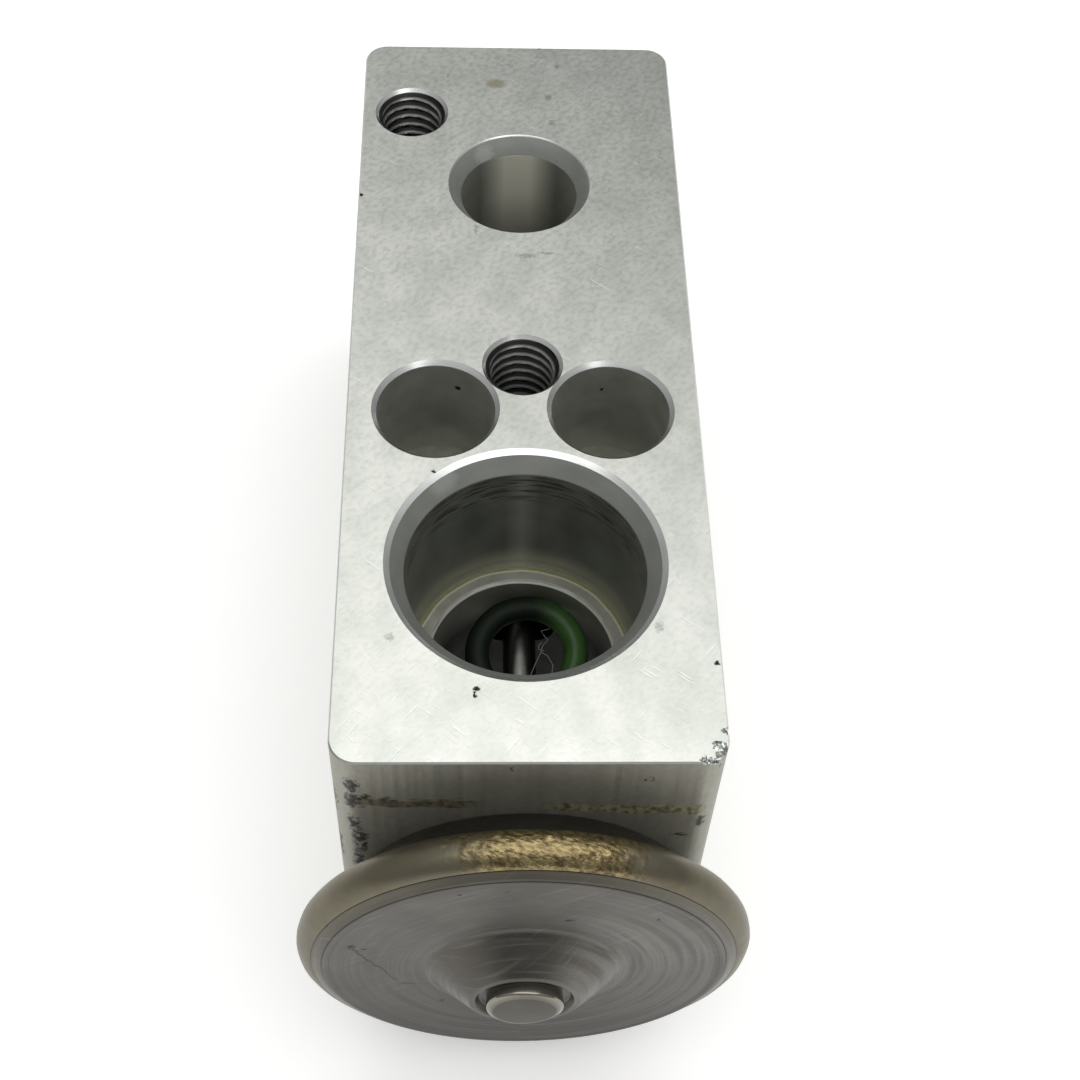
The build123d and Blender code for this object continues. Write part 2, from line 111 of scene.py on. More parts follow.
TABLE_SIZE = 1.6
PAPER_WHITE = "#F4F4F3"
PAPER_ROUGHNESS = 0.9
PAPER_GLOW = 0.35
TENT_TOP = 0.66
TENT_HORIZON = 0.2
OVERHEAD_POWER = 2.1
OVERHEAD_SIZE = 0.7
OVERHEAD_PLACE = Vector((0.06, -0.02, 0.55))
OVERHEAD_TARGET = Vector((0, 0, 20 * MM))

paper = new_material("white_paper")
tree = paper.node_tree
paper_shader = add(tree, "BsdfPrincipled", {"Base Color": PAPER_WHITE, "Roughness": PAPER_ROUGHNESS})
seen = add(tree, "LightPath")
lift = add(tree, "Emission", {"Color": PAPER_WHITE, "Strength": PAPER_GLOW})
nothing = add(tree, "Emission", {"Strength": 0.0})
seen_or_mirrored = add(tree, "Math", {
    0: seen.outputs["Is Camera Ray"], 1: seen.outputs["Is Glossy Ray"]}, operation="MAXIMUM")
glow = add(tree, "MixShader", {0: seen_or_mirrored, 1: nothing, 2: lift})
both = add(tree, "AddShader", {0: paper_shader, 1: glow})
add(tree, "OutputMaterial", {"Surface": both})

half = TABLE_SIZE / 2
table_mesh = bpy.data.meshes.new("table")
table_mesh.from_pydata([(-half, -half, 0), (half, -half, 0), (half, half, 0), (-half, half, 0)], [], [(0, 1, 2, 3)])
table_mesh.materials.append(paper)
table = bpy.data.objects.new("table", table_mesh)
bpy.context.scene.collection.objects.link(table)

tent = bpy.data.worlds.new("tent")
tent.use_nodes = True
tree = tent.node_tree
tree.nodes.clear()
direction = add(tree, "TexCoord").outputs["Generated"]
brightness = along(tree, direction, "Z", 0.0, 1.0, TENT_HORIZON, TENT_TOP)
sky = add(tree, "Background", {"Color": "#FFFFFF", "Strength": brightness})
add(tree, "OutputWorld", {"Surface": sky})
bpy.context.scene.world = tent

lamp = bpy.data.objects.new("overhead", bpy.data.lights.new("overhead", "AREA"))
lamp.data.energy = OVERHEAD_POWER
lamp.data.size = OVERHEAD_SIZE
lamp.location = OVERHEAD_PLACE
lamp.rotation_mode = "QUATERNION"
lamp.rotation_quaternion = (OVERHEAD_TARGET - OVERHEAD_PLACE).to_track_quat("-Z", "Y")
bpy.context.scene.collection.objects.link(lamp)

# ---------------------------------------------------------------- the block
# A length of aluminium extrusion, sawn off and face-milled on its two cut faces, then bored for the pipe spigots and
# drilled for the screws. The extruded sides keep their dull drawn skin, and the cut faces are bright.
cad_low, cad_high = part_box("valve_body")
BLOCK_WIDTH = (cad_high.x - cad_low.x) / MM
BLOCK_LENGTH = (cad_high.y - cad_low.y) / MM
BLOCK_DEPTH = (cad_high.z - cad_low.z) / MM
AXIS_HEIGHT = BLOCK_DEPTH / 2


def station(distance):
    """The Y of a place this far into the block from its head end."""
    return distance - BLOCK_LENGTH / 2


def begun(name):
    """A new material, its node tree, and the place on the object in millimetres."""
    made = new_material(name)
    place = add(made.node_tree, "TexCoord").outputs["Object"]
    in_mm = add(made.node_tree, "VectorMath", {0: place, 1: (1 / MM,) * 3}, operation="MULTIPLY")
    return made, made.node_tree, in_mm


def grain(tree, place, lengths, turn=0.0, seed=0.0, detail=2.0):
    """Noise drawn out to these lengths in X, Y and Z, in millimetres, after a turn about Z."""
    turned_by = add(tree, "VectorRotate", {"Vector": place, "Angle": turn}, rotation_type="Z_AXIS")
    scale = tuple(1 / length for length in lengths)
    shift = (seed, 2.3 * seed, 0.7 * seed)
    moved = add(tree, "VectorMath", {0: turned_by, 1: scale, 2: shift}, operation="MULTIPLY_ADD")
    return add(tree, "TexNoise", {"Vector": moved, "Scale": 1.0, "Detail": detail})


def spots(tree, place, spread, *marks):
    """How far inside any of these marks a place is, from 0 to 1. A mark is its place and its half sizes in
    millimetres, and its edge strays by up to half the spread."""
    wander = add(tree, "TexNoise", {"Vector": place, "Scale": 3.5, "Detail": 6.0}).outputs["Color"]
    strayed = add(tree, "VectorMath", {0: wander, 1: (spread,) * 3, 2: place}, operation="MULTIPLY_ADD")
    inside = None
    for middle, half_sizes in marks:
        centre = tuple(-(at + spread / 2) for at in middle)
        off = add(tree, "VectorMath", {0: strayed, 1: centre}, operation="ADD")
        scaled = add(tree, "VectorMath", {0: off, 1: half_sizes}, operation="DIVIDE")
        reach = add(tree, "VectorMath", {0: scaled}, operation="LENGTH")
        here = add(tree, "MapRange", {"Value": reach, "From Min": 0.55, "From Max": 1.0, "To Min": 1.0, "To Max": 0.0})
        inside = add(tree, "Math", {0: inside, 1: here}, operation="MAXIMUM") if inside else here
    return inside


def laid(tree, pattern, dark, light, *coats):
    """A ground that a pattern mottles between two colours, with coats over it. A coat is how much of it there is,
    its colour and, if it is thinned, the most that shows."""
    colour = add(tree, "Mix", {0: pattern, 6: dark, 7: light}, data_type="RGBA")
    for amount, coat, *most in coats:
        if most:
            amount = add(tree, "Math", {0: amount, 1: most[0]}, operation="MULTIPLY")
        colour = add(tree, "Mix", {0: amount, 6: colour, 7: coat}, data_type="RGBA")
    return colour


def surfaced(tree, colour, roughness, metallic=0.0, specular=0.5, relief=None, depth=0.0, strength=0.0):
    """Ends a material. Its roughness may be a noise and the two values that the noise swings between, and its relief
    is this many millimetres deep."""
    if isinstance(roughness, tuple):
        pattern, smooth, rough = roughness
        roughness = add(tree, "MapRange", {
            "Value": pattern, "From Min": 0.3, "From Max": 0.7, "To Min": smooth, "To Max": rough})
    values = {"Base Color": colour, "Metallic": metallic, "Roughness": roughness, "Specular IOR Level": specular}
    if relief:
        values["Normal"] = add(tree, "Bump", {"Height": relief, "Distance": depth * MM, "Strength": strength})
    add(tree, "OutputMaterial", {"Surface": add(tree, "BsdfPrincipled", values)})


# Face-milled aluminium: pale, with a fine orange-peel grain left by the cutter and by blasting with dust, and blotchy
# stains a few millimetres across. Short scratches a tenth of a millimetre wide, drawn here twice as wide so that they
# show, are crowded near the head. Painted shade lies on it as a grey haze that thickens away from the head and to
# one side. A few smudges, specks of black dirt and one olive stain lie on it. A smudge is its X, its Y and its two
# half sizes.
SMUDGE_REACH = 0.3
SMUDGES = (
    (-6.4, 33.9, 0.2, 0.35), (3.7, 35.3, 0.3, 0.4), (2.8, 31.0, 0.45, 0.5), (3.0, 27.5, 0.4, 0.4),
    (-3.8, 13.9, 0.16, 1.0), (0.4, 10.8, 1.1, 0.3), (2.1, 11.1, 1.2, 0.22), (-9.9, -27.7, 0.5, 0.5),
    (9.6, -26.8, 0.4, 0.6),
)
SPECKS = (
    ((2.1, 37.9, 40.0), (0.3, 0.14, 0.3)), ((-7.0, -12.5, 40.0), (0.22, 0.2, 0.3)),
    ((-3.7, -32.0, 40.0), (0.34, 0.22, 0.3)), ((-3.8, -32.5, 40.0), (0.14, 0.36, 0.3)),
    ((13.6, -29.9, 40.0), (0.3, 0.25, 0.4)), ((-13.8, 18.0, 40.0), (0.3, 0.2, 0.4)),
)
OLIVE_STAIN = ((-2.0, 32.8, 40.0), (1.15, 0.75, 0.6))
SHADE_PER_MM = (0.0093, 0.0064, 0.0)
SHADE_AT_MIDDLE = 0.18
milled, tree, place = begun("face_milled_aluminium")
peel = grain(tree, place, (0.55, 0.42, 0.55), turn=radians(-40), seed=3.1, detail=5.0)
blotches = grain(tree, place, (3.2, 4.2, 3.2), seed=5.0, detail=5.0)
cloud = grain(tree, place, (16.0, 22.0, 16.0), seed=2.0)
falling = grain(tree, place, (2.6, 0.2, 2.6), turn=radians(38), seed=7.7, detail=1.0)
rising = grain(tree, place, (3.4, 0.2, 3.4), turn=radians(-52), seed=1.9, detail=1.0)
faint = along(tree, place, "Y", station(0), 0.0, 0.68, 0.74)
full = add(tree, "Math", {0: faint, 1: 0.06}, operation="ADD")
falling_lines = add(tree, "MapRange", {"Value": falling, "From Min": faint, "From Max": full})
rising_lines = add(tree, "MapRange", {"Value": rising, "From Min": faint, "From Max": full})
scratches = add(tree, "Math", {0: falling_lines, 1: rising_lines}, operation="MAXIMUM")
stain = add(tree, "MapRange", {"Value": blotches, "From Min": 0.38, "From Max": 0.64, "To Max": 0.32})
pores = add(tree, "MapRange", {"Value": peel, "From Min": 0.34, "From Max": 0.56, "To Min": 0.24, "To Max": 0.0})
# Painted shade: a grey haze, darker away from the head and to one side.
shade_gradient = add(tree, "VectorMath", {0: place, 1: SHADE_PER_MM}, operation="DOT_PRODUCT")
painted_shade_haze = add(tree, "Math", {0: shade_gradient, 1: SHADE_AT_MIDDLE}, operation="ADD", use_clamp=True)
oil = spots(tree, place, 0.5, OLIVE_STAIN)
smudge = spots(tree, place, 1.0, *[
    ((x, y, BLOCK_DEPTH), (half_x, half_y, SMUDGE_REACH)) for x, y, half_x, half_y in SMUDGES])
dirt = spots(tree, place, 0.5, *SPECKS)
colour = laid(
    tree, cloud, "#D8DAD2", "#E9EAE4", (stain, "#AAB3A8"), (pores, "#94988F"), (painted_shade_haze, "#7E837C"),
    (scratches, "#FAFBFA", 0.35), (oil, "#96947A", 0.8), (smudge, "#6C6E69", 0.42), (dirt, "#2A2B29"))
relief = add(tree, "Math", {0: peel, 1: scratches}, operation="SUBTRACT")
surfaced(tree, colour, (peel, 0.38, 0.5), metallic=1.0, relief=relief, depth=0.012, strength=0.6)


def beside(tree, value, middle, near, far, there=1.0, beyond=0.0):
    """A stripe about a middle: one number as far as `near` from it, and another from `far` on."""
    off = add(tree, "Math", {0: value, 1: middle}, operation="SUBTRACT")
    distance = add(tree, "Math", {0: off}, operation="ABSOLUTE")
    return add(tree, "MapRange", {
        "Value": distance, "From Min": near, "From Max": far, "To Min": there, "To Max": beyond})


# Extruded aluminium: the die leaves fine lines along the extrusion, which runs from face to face. Its skin is duller
# and darker than the cut faces. A gasket left an olive-brown line of residue across the head end, with a gap in its
# middle, and black dirt clings near the end's two edges. The die lines are drawn 0.35 mm apart, coarser than the real
# ones, so they show. A clot of grime is its X, its Z and its two half sizes.
END_MARK_REACH = 0.8
GRIME = (
    (-12.5, 36.7, 0.7, 1.3), (-12.0, 35.1, 1.2, 0.5), (-12.7, 34.4, 0.6, 1.6), (-12.6, 31.0, 0.6, 1.5),
    (-12.2, 28.3, 0.7, 2.6), (-12.5, 24.9, 0.5, 2.2), (12.8, 31.0, 0.5, 1.1), (11.4, 29.1, 1.0, 0.3),
    (-1.3, 39.3, 0.3, 0.35), (8.5, 37.7, 0.35, 0.35),
)
EDGE_GRIME = (((-13.9, -37.0, 33.0), (0.3, 0.6, 2.4)), ((-13.9, -37.0, 26.0), (0.3, 0.6, 2.8)))
RESIDUE_HEIGHT = BLOCK_DEPTH - 6.35
RESIDUE_SLOPE = -0.06
RESIDUE_HALF_WIDTH = 0.75
RESIDUE_GAP_X = -1.0
extruded, tree, place = begun("extruded_aluminium")
die_lines = grain(tree, place, (0.35, 0.35, 30.0), seed=4.0, detail=3.0)
dull = grain(tree, place, (6.0, 6.0, 9.0), seed=9.0, detail=4.0)
peel = grain(tree, place, (0.5, 0.5, 0.7), seed=2.1, detail=4.0)
ragged = grain(tree, place, (1.6, 1.6, 0.6), seed=6.0, detail=6.0)
dull_lines = add(tree, "Mix", {0: 0.45, 2: dull, 3: die_lines})
pores = add(tree, "MapRange", {"Value": peel, "From Min": 0.35, "From Max": 0.6, "To Min": 0.16, "To Max": 0.0})
part = add(tree, "SeparateXYZ", {0: place})
level = add(tree, "Math", {0: part.outputs["X"], 1: RESIDUE_SLOPE, 2: RESIDUE_HEIGHT}, operation="MULTIPLY_ADD")
away = add(tree, "Math", {0: part.outputs["Z"], 1: level}, operation="SUBTRACT")
distance = add(tree, "Math", {0: away}, operation="ABSOLUTE")
rough_edge = add(tree, "Math", {0: ragged, 1: 2.0, 2: -1.0}, operation="MULTIPLY_ADD")
band = add(tree, "Math", {0: distance, 1: rough_edge}, operation="ADD")
line = add(tree, "MapRange", {
    "Value": band, "From Min": RESIDUE_HALF_WIDTH - 0.25, "From Max": RESIDUE_HALF_WIDTH,
    "To Min": 0.85, "To Max": 0.0})
gap = beside(tree, part.outputs["X"], RESIDUE_GAP_X, 1.5, 3.5, 0.0, 1.0)
on_head_end = along(tree, place, "Y", station(0.02), station(0.3), 1.0, 0.0)
broken_line = add(tree, "Math", {0: line, 1: gap}, operation="MULTIPLY")
residue = add(tree, "Math", {0: broken_line, 1: on_head_end}, operation="MULTIPLY")
clotted = add(tree, "MapRange", {"Value": peel, "From Min": 0.38, "From Max": 0.58})
burnt = laid(tree, clotted, "#1E1A12", "#6A6045")
greasy = laid(tree, clotted, "#4A4528", "#9A9570")
dried = laid(tree, along(tree, place, "X", -3.0, 4.0), burnt, greasy)
clots = spots(tree, place, 1.5, *[
    ((x, station(0), z), (half_x, END_MARK_REACH, half_z)) for x, z, half_x, half_z in GRIME], *EDGE_GRIME)
crumbs = add(tree, "MapRange", {"Value": peel, "From Min": 0.38, "From Max": 0.5})
dirt = add(tree, "Math", {0: clots, 1: crumbs}, operation="MULTIPLY")
colour = laid(tree, dull_lines, "#949286", "#B0AEA1", (pores, "#6F6E64"), (residue, dried), (dirt, "#171613"))
covered = add(tree, "Math", {0: residue, 1: dirt}, operation="MAXIMUM")
bare = add(tree, "MapRange", {"Value": covered, "To Min": 0.6, "To Max": 0.1})
surfaced(tree, colour, (die_lines, 0.42, 0.56), metallic=bare, relief=die_lines, depth=0.003, strength=0.4)

# Bored aluminium: the boring bar leaves rings about each hole's axis, a few tenths of a millimetre apart, torn just
# below the chamfer. A painted highlight lies in a narrow stripe on the walls towards and away from the head.
# Refrigerant oil has dried on the wall, pale at its foot, and painted shade darkens the wall to near black deep down,
# where the return passage crosses.
TORN_FROM, TORN_TO = BLOCK_DEPTH - 5.0, BLOCK_DEPTH - 2.0
bored, tree, place = begun("bored_aluminium")
rings = grain(tree, place, (14.0, 14.0, 0.3), seed=8.0, detail=3.0)
film = grain(tree, place, (3.0, 3.0, 3.0), seed=2.5, detail=5.0)
tears = grain(tree, place, (2.2, 2.2, 0.16), seed=5.2, detail=4.0)
into_tears = along(tree, place, "Z", TORN_FROM, TORN_FROM + 0.6)
out_of_tears = along(tree, place, "Z", TORN_TO, TORN_TO + 1.0, 1.0, 0.0)
torn_stretch = add(tree, "Math", {0: into_tears, 1: out_of_tears}, operation="MULTIPLY")
tear = add(tree, "MapRange", {"Value": tears, "From Min": 0.48, "From Max": 0.62, "To Max": 0.7})
torn = add(tree, "Math", {0: tear, 1: torn_stretch}, operation="MULTIPLY")
across = add(tree, "SeparateXYZ", {0: place}).outputs["X"]
# Painted highlight: a narrow bright stripe on the walls towards and away from the head.
painted_streak = beside(tree, across, 0.0, 0.1, 1.4, 0.45)
foot = along(tree, place, "Z", 26.6, 28.8, 0.6, 0.0)
# Painted shade: the wall darkens to near black with depth.
painted_deep_shade = along(tree, place, "Z", 21.5, 26.3, 0.96, 0.0)
colour = laid(
    tree, film, "#7C7F78", "#A3A59D", (painted_streak, "#E6E7E0"), (foot, "#C6C5B4"), (torn, "#2E2F2A"), (painted_deep_shade, "#121513"))
relief = add(tree, "Math", {0: rings, 1: torn}, operation="SUBTRACT")
surfaced(tree, colour, (film, 0.40, 0.54), metallic=0.8, relief=relief, depth=0.02, strength=0.6)

# Reamed aluminium, in the liquid ports: smoother and brighter than a drilled wall. A painted highlight lies on it near
# the mouth, in a stripe on the walls towards and away from the head, and fades with depth.
reamed, tree, place = begun("reamed_aluminium")
rings = grain(tree, place, (9.0, 9.0, 0.4), seed=3.0, detail=4.0)
film = grain(tree, place, (2.5, 2.5, 2.0), seed=7.5, detail=5.0)
across = add(tree, "SeparateXYZ", {0: place}).outputs["X"]
# Painted highlight: a pale stripe near the mouth, fading with depth.
painted_streak = beside(tree, across, 0.0, 1.2, 3.4)
shallow = along(tree, place, "Z", 25.0, 34.0)
painted_highlight = add(tree, "Math", {0: painted_streak, 1: shallow}, operation="MULTIPLY")
colour = laid(tree, film, "#868880", "#A6A89F", (painted_highlight, "#F0EFDF"))
bare = add(tree, "MapRange", {"Value": painted_highlight, "To Min": 0.65, "To Max": 0.35})
surfaced(tree, colour, 0.42, metallic=bare, relief=rings, depth=0.02, strength=0.6)

# Drilled aluminium: a twist drill tears more than a boring bar does, so the screw pockets have a rougher,
# greyer wall that scatters the light. Two specks of dirt stick to the walls.
POCKET_SPECKS = (((-5.2, -1.6, 37.3), (0.35, 0.6, 0.3)), ((6.6, -1.4, 36.9), (0.2, 0.6, 0.2)))
drilled, tree, place = begun("drilled_aluminium")
rings = grain(tree, place, (9.0, 9.0, 0.35), seed=3.0, detail=4.0)
film = grain(tree, place, (2.5, 2.5, 2.0), seed=7.5, detail=5.0)
dirt = spots(tree, place, 0.4, *POCKET_SPECKS)
colour = laid(tree, film, "#9FA198", "#D2D4CC", (dirt, "#191A18"))
surfaced(tree, colour, 0.45, metallic=0.8, relief=rings, depth=0.02, strength=0.6)

# Floors of ports and pockets: faced by the tool's end, never touched since, and dull with dried oil that is olive in
# patches.
faced, tree, place = begun("oiled_port_floor")
film = grain(tree, place, (1.6, 1.6, 1.6), seed=4.1, detail=6.0)
colour = laid(tree, film, "#6F6F60", "#A2A299")
surfaced(tree, colour, 0.5, metallic=0.55, relief=film, depth=0.03, strength=0.5)


def off_axis(tree, place, x, y):
    """How far a place lies from the upright axis through this X and Y, in millimetres."""
    from_axis = add(tree, "VectorMath", {0: place, 1: (x, y, 0.0)}, operation="SUBTRACT")
    level = add(tree, "VectorMath", {0: from_axis, 1: (1, 1, 0)}, operation="MULTIPLY")
    return add(tree, "VectorMath", {0: level}, operation="LENGTH")


# The suction port's shoulder: the same floor with its inner lip rubbed bright, a pale glint outside it and an olive
# line of dried oil in the step at its foot.
SUCTION_STATION = 17.2
shouldered, tree, place = begun("oiled_shoulder")
film = grain(tree, place, (1.6, 1.6, 1.6), seed=4.1, detail=6.0)
radius = off_axis(tree, place, 0.0, station(SUCTION_STATION))
strayed = add(tree, "Math", {0: film, 1: 0.3, 2: radius}, operation="MULTIPLY_ADD")
lip = add(tree, "MapRange", {"Value": strayed, "From Min": 7.72, "From Max": 7.84, "To Min": 0.75, "To Max": 0.0})
glint = add(tree, "MapRange", {"Value": strayed, "From Min": 8.6, "From Max": 8.68, "To Max": 0.6})
foot = add(tree, "MapRange", {"Value": strayed, "From Min": 8.75, "From Max": 8.85, "To Max": 0.8})
colour = laid(tree, film, "#727268", "#A6A69E", (lip, "#DCDDD6"), (glint, "#D2CFAE"), (foot, "#6B6838"))
surfaced(tree, colour, 0.5, metallic=0.55, relief=film, depth=0.03, strength=0.5)

# Broken edges: the countersink's fresh cut, brighter and smoother than anything round it.
chamfered, tree, place = begun("fresh_cut_aluminium")
chatter = grain(tree, place, (2.5, 2.5, 0.25), seed=1.0)
colour = laid(tree, chatter, "#C4C7C4", "#E8EAE7")
surfaced(tree, colour, 0.24, metallic=1.0, relief=chatter, depth=0.01, strength=0.5)

# Port chamfers: cut by the same form tool as the ports, smooth and mid-grey, for the O-rings to slide past. A painted
# highlight brightens each on its side away from the head, to the left, and a speck of dirt lies on one.
CHAMFER_HIGHLIGHTS = (((-2.9, 24.0, 39.3), (1.2, 1.2, 1.0)), ((-6.5, -12.8, 39.3), (1.6, 1.6, 1.0)))
CHAMFER_SPECK = ((3.3, 23.5, 39.0), (0.25, 0.4, 0.3))
tapered, tree, place = begun("port_chamfer_aluminium")
smear = grain(tree, place, (3.0, 3.0, 1.2), seed=6.3, detail=4.0)
# Painted highlights, one on each port's chamfer.
painted_highlight = spots(tree, place, 1.0, *CHAMFER_HIGHLIGHTS)
dirt = spots(tree, place, 0.3, CHAMFER_SPECK)
colour = laid(tree, smear, "#7A7C77", "#989A95", (painted_highlight, "#DADCD8", 0.2), (dirt, "#2C2D2B"))
surfaced(tree, colour, 0.5, metallic=0.55)


def rounded(*corners, steps=8):
    """The points of an outline whose corners are (radius, height) or, where they are rounded, (radius, height, r)."""
    points = []
    for index, (radius, height, *rounding) in enumerate(corners):
        if not rounding:
            points.append((radius, height))
            continue
        corner = Vector((radius, height))
        before = (Vector(corners[index - 1][:2]) - corner).normalized()
        after = (Vector(corners[(index + 1) % len(corners)][:2]) - corner).normalized()
        half_turn = before.angle(after) / 2
        reach = rounding[0] / tan(half_turn)
        centre = corner + (before + after).normalized() * rounding[0] / sin(half_turn)
        first = (corner + before * reach - centre).normalized()
        last = (corner + after * reach - centre).normalized()
        points += [tuple(centre + first.slerp(last, step / steps) * rounding[0]) for step in range(steps + 1)]
    return points


def axis_at(x, y, z, towards):
    """The matrix that lays a turned piece's axis through a place in millimetres, pointing along `towards`."""
    ahead = Vector(towards).normalized()
    across = Vector((1, 0, 0))
    turn = Matrix((across, ahead.cross(across), ahead)).transposed().to_4x4()
    return Matrix.Scale(MM, 4) @ Matrix.Translation((x, y, z)) @ turn


ROUND_STEPS = 160
MOUTH_DEPTH = 2.0
MOUTH_SLOPES = (0.3, 0.72, 0.97)
DEEP_SLOPE = 0.6


def turned(name, points, axis, finishes, closed=False, steps=ROUND_STEPS, shaped=None):
    """A mesh turned about an axis from (radius, height) points. finishes are the materials of its walls, of the
    chamfers at its mouth, of the flatter lips there and of its floors, told apart by slope. shaped may move a point:
    it takes and gives angle, radius and height."""
    shell = bmesh.new()
    circles = []
    for radius, height in points:
        turns = 1 if radius < 1e-6 else steps
        circle = []
        for turn in range(turns):
            angle, out, up = turn * tau / steps, radius, height
            if shaped:
                angle, out, up = shaped(angle, out, up)
            circle.append(shell.verts.new(axis @ Vector((out * cos(angle), out * sin(angle), up))))
        circles.append(circle)
    pairs = list(zip(range(len(points)), range(1, len(points)))) + ([(len(points) - 1, 0)] if closed else [])
    for low, high in pairs:
        run, rise = points[high][0] - points[low][0], points[high][1] - points[low][1]
        slope = abs(run) / max(hypot(run, rise), 1e-9)
        if points[low][1] > MOUTH_DEPTH:
            finish = 3 if slope >= DEEP_SLOPE else 0
        else:
            finish = sum(slope >= limit for limit in MOUTH_SLOPES)
        for turn in range(steps):
            after = (turn + 1) % steps
            four = [circles[low][turn % len(circles[low])], circles[low][after % len(circles[low])],
                    circles[high][after % len(circles[high])], circles[high][turn % len(circles[high])]]
            corners = list(dict.fromkeys(four))
            if len(corners) > 2:
                shell.faces.new(corners).material_index = min(finish, len(finishes) - 1)
    bmesh.ops.recalc_face_normals(shell, faces=shell.faces)
    mesh = bpy.data.meshes.new(name)
    shell.to_mesh(mesh)
    shell.free()
    for material in finishes:
        mesh.materials.append(material)
    return mesh


FLAT_ON = 0.9999


def placed(name, mesh, body=None, replaced=(), crease=30):
    """An object of this mesh, smooth but for its creases and its faces that are flat on to an axis. It rides on a body
    and stands for CAD nodes."""
    for polygon in mesh.polygons:
        polygon.use_smooth = max(map(abs, polygon.normal)) < FLAT_ON
    mesh.set_sharp_from_angle(angle=radians(crease))
    made = bpy.data.objects.new(name, mesh)
    bpy.context.scene.collection.objects.link(made)
    if body:
        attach(made, body)
        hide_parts(*replaced)
    return made


CORNER_RADIUS = 2.0
CORNER_STEPS = 12
EDGE_BREAK = 0.12


def block_blank():
    """The sawn and milled length of extrusion, with its sharp edges just broken."""
    shell = bmesh.new()
    circles = []
    for inset, height in ((EDGE_BREAK, 0), (0, EDGE_BREAK), (0, BLOCK_DEPTH - EDGE_BREAK), (EDGE_BREAK, BLOCK_DEPTH)):
        circle = []
        for side_x, side_y, start in ((1, 1, 0), (-1, 1, 1), (-1, -1, 2), (1, -1, 3)):
            for step in range(CORNER_STEPS + 1):
                angle = (start + step / CORNER_STEPS) * pi / 2
                x = side_x * (BLOCK_WIDTH / 2 - CORNER_RADIUS) + (CORNER_RADIUS - inset) * cos(angle)
                y = side_y * (BLOCK_LENGTH / 2 - CORNER_RADIUS) + (CORNER_RADIUS - inset) * sin(angle)
                circle.append(shell.verts.new(Vector((x, y, height)) * MM))
        circles.append(circle)
    count = len(circles[0])
    for level, (low, high) in enumerate(zip(circles, circles[1:])):
        for turn in range(count):
            after = (turn + 1) % count
            face = shell.faces.new((low[turn], low[after], high[after], high[turn]))
            face.material_index = 1 if level == 1 else 2
    shell.faces.new(reversed(circles[0])).material_index = 0
    shell.faces.new(circles[-1]).material_index = 0
    mesh = bpy.data.meshes.new("block_blank")
    shell.to_mesh(mesh)
    shell.free()
    for material in (milled, extruded, chamfered):
        mesh.materials.append(material)
    return mesh


# The outlines of the holes, each as (radius, depth) corners with a rounding where there is one. The same form tool
# cuts the two liquid ports' mouths.
OUT, IN = (0, 0, 1), (0, 0, -1)
ALONG, BACK = (0, 1, 0), (0, -1, 0)
OVERRUN = 1.0
RETURN_RADIUS = 7.45
SUCTION_OUTLINE = rounded(
    (0, -OVERRUN), (12.15, -OVERRUN), (10.65, 0.0), (10.2, 0.3), (9.15, 1.5, 0.25), (9.15, 13.1, 0.8), (8.9, 13.55),
    (8.75, 13.55), (8.7, 13.8), (7.7, 13.8, 0.1), (RETURN_RADIUS, 14.05, 0.1), (RETURN_RADIUS, 21.0), (0, 21.0))
INLET_STATION = 57.7
OUTLET_STATION = 44.6
LIQUID_MOUTH = ((0, -OVERRUN), (7.7, -OVERRUN), (6.22, 0.0), (6.1, 0.1), (5.1, 1.41, 0.2))
INLET_OUTLINE = rounded(*LIQUID_MOUTH, (5.1, 19.0), (0, 19.0))
OUTLET_OUTLINE = rounded(*LIQUID_MOUTH, (5.1, 10.3, 0.6), (4.4, 11.0), (2.9, 11.0, 0.1), (2.9, 20.0), (0, 20.0))
LIQUID_STEPS = 112
BOLT_STATION = 31.9
BOLT_SPACING = 13.9
POCKET_OUTLINE = rounded(
    (0, -OVERRUN), (6.1, -OVERRUN), (5.1, 0.0), (4.7, 0.35, 0.1), (4.7, 10.6), (3.05, 10.6), (2.75, 10.9),
    (2.75, BLOCK_DEPTH + OVERRUN), (0, BLOCK_DEPTH + OVERRUN))
POCKET_STEPS = 104
TAP_RADIUS = 3.0
TAP_POINT = 1.8
TAP_STEPS = 96
COUNTERSINK = 0.28
FIXING_TAP = (0.0, 36.5, 14.0)
CORNER_TAP = (-9.6, 66.8, 12.0)
AXIS_STEPS = 128
AXIS_OUTLINE = [
    (0, -OVERRUN), (11.5, -OVERRUN), (11.5, 1.6), (10.0, 1.6), (10.0, 6.0), (6.5, 6.0), (6.5, 17.2), (3.0, 17.2),
    (3.0, 32.05), (1.45, 32.05), (1.45, 41.7), (2.9, 41.7), (2.9, 47.6), (2.0, 47.6),
    (2.0, 49.6), (6.5, 49.6), (6.5, 67.2), (7.5, 67.2), (7.5, 75.6), (7.9, 76.0), (8.9, 77.0), (0, 77.0)]

cutters = []
bored_finishes = (bored, tapered, chamfered, shouldered)
reamed_finishes = (reamed, tapered, chamfered, faced)
drilled_finishes = (drilled, chamfered, chamfered, faced)


def cutter(points, x, where, towards, steps=ROUND_STEPS, finishes=drilled_finishes):
    """A tool that bites into one of the two cut faces, at this X and this far from the head end."""
    height = BLOCK_DEPTH if towards == IN else 0
    mesh = turned("cutter", points, axis_at(x, station(where), height, towards), finishes, steps=steps)
    cutters.append(placed("cutter", mesh))


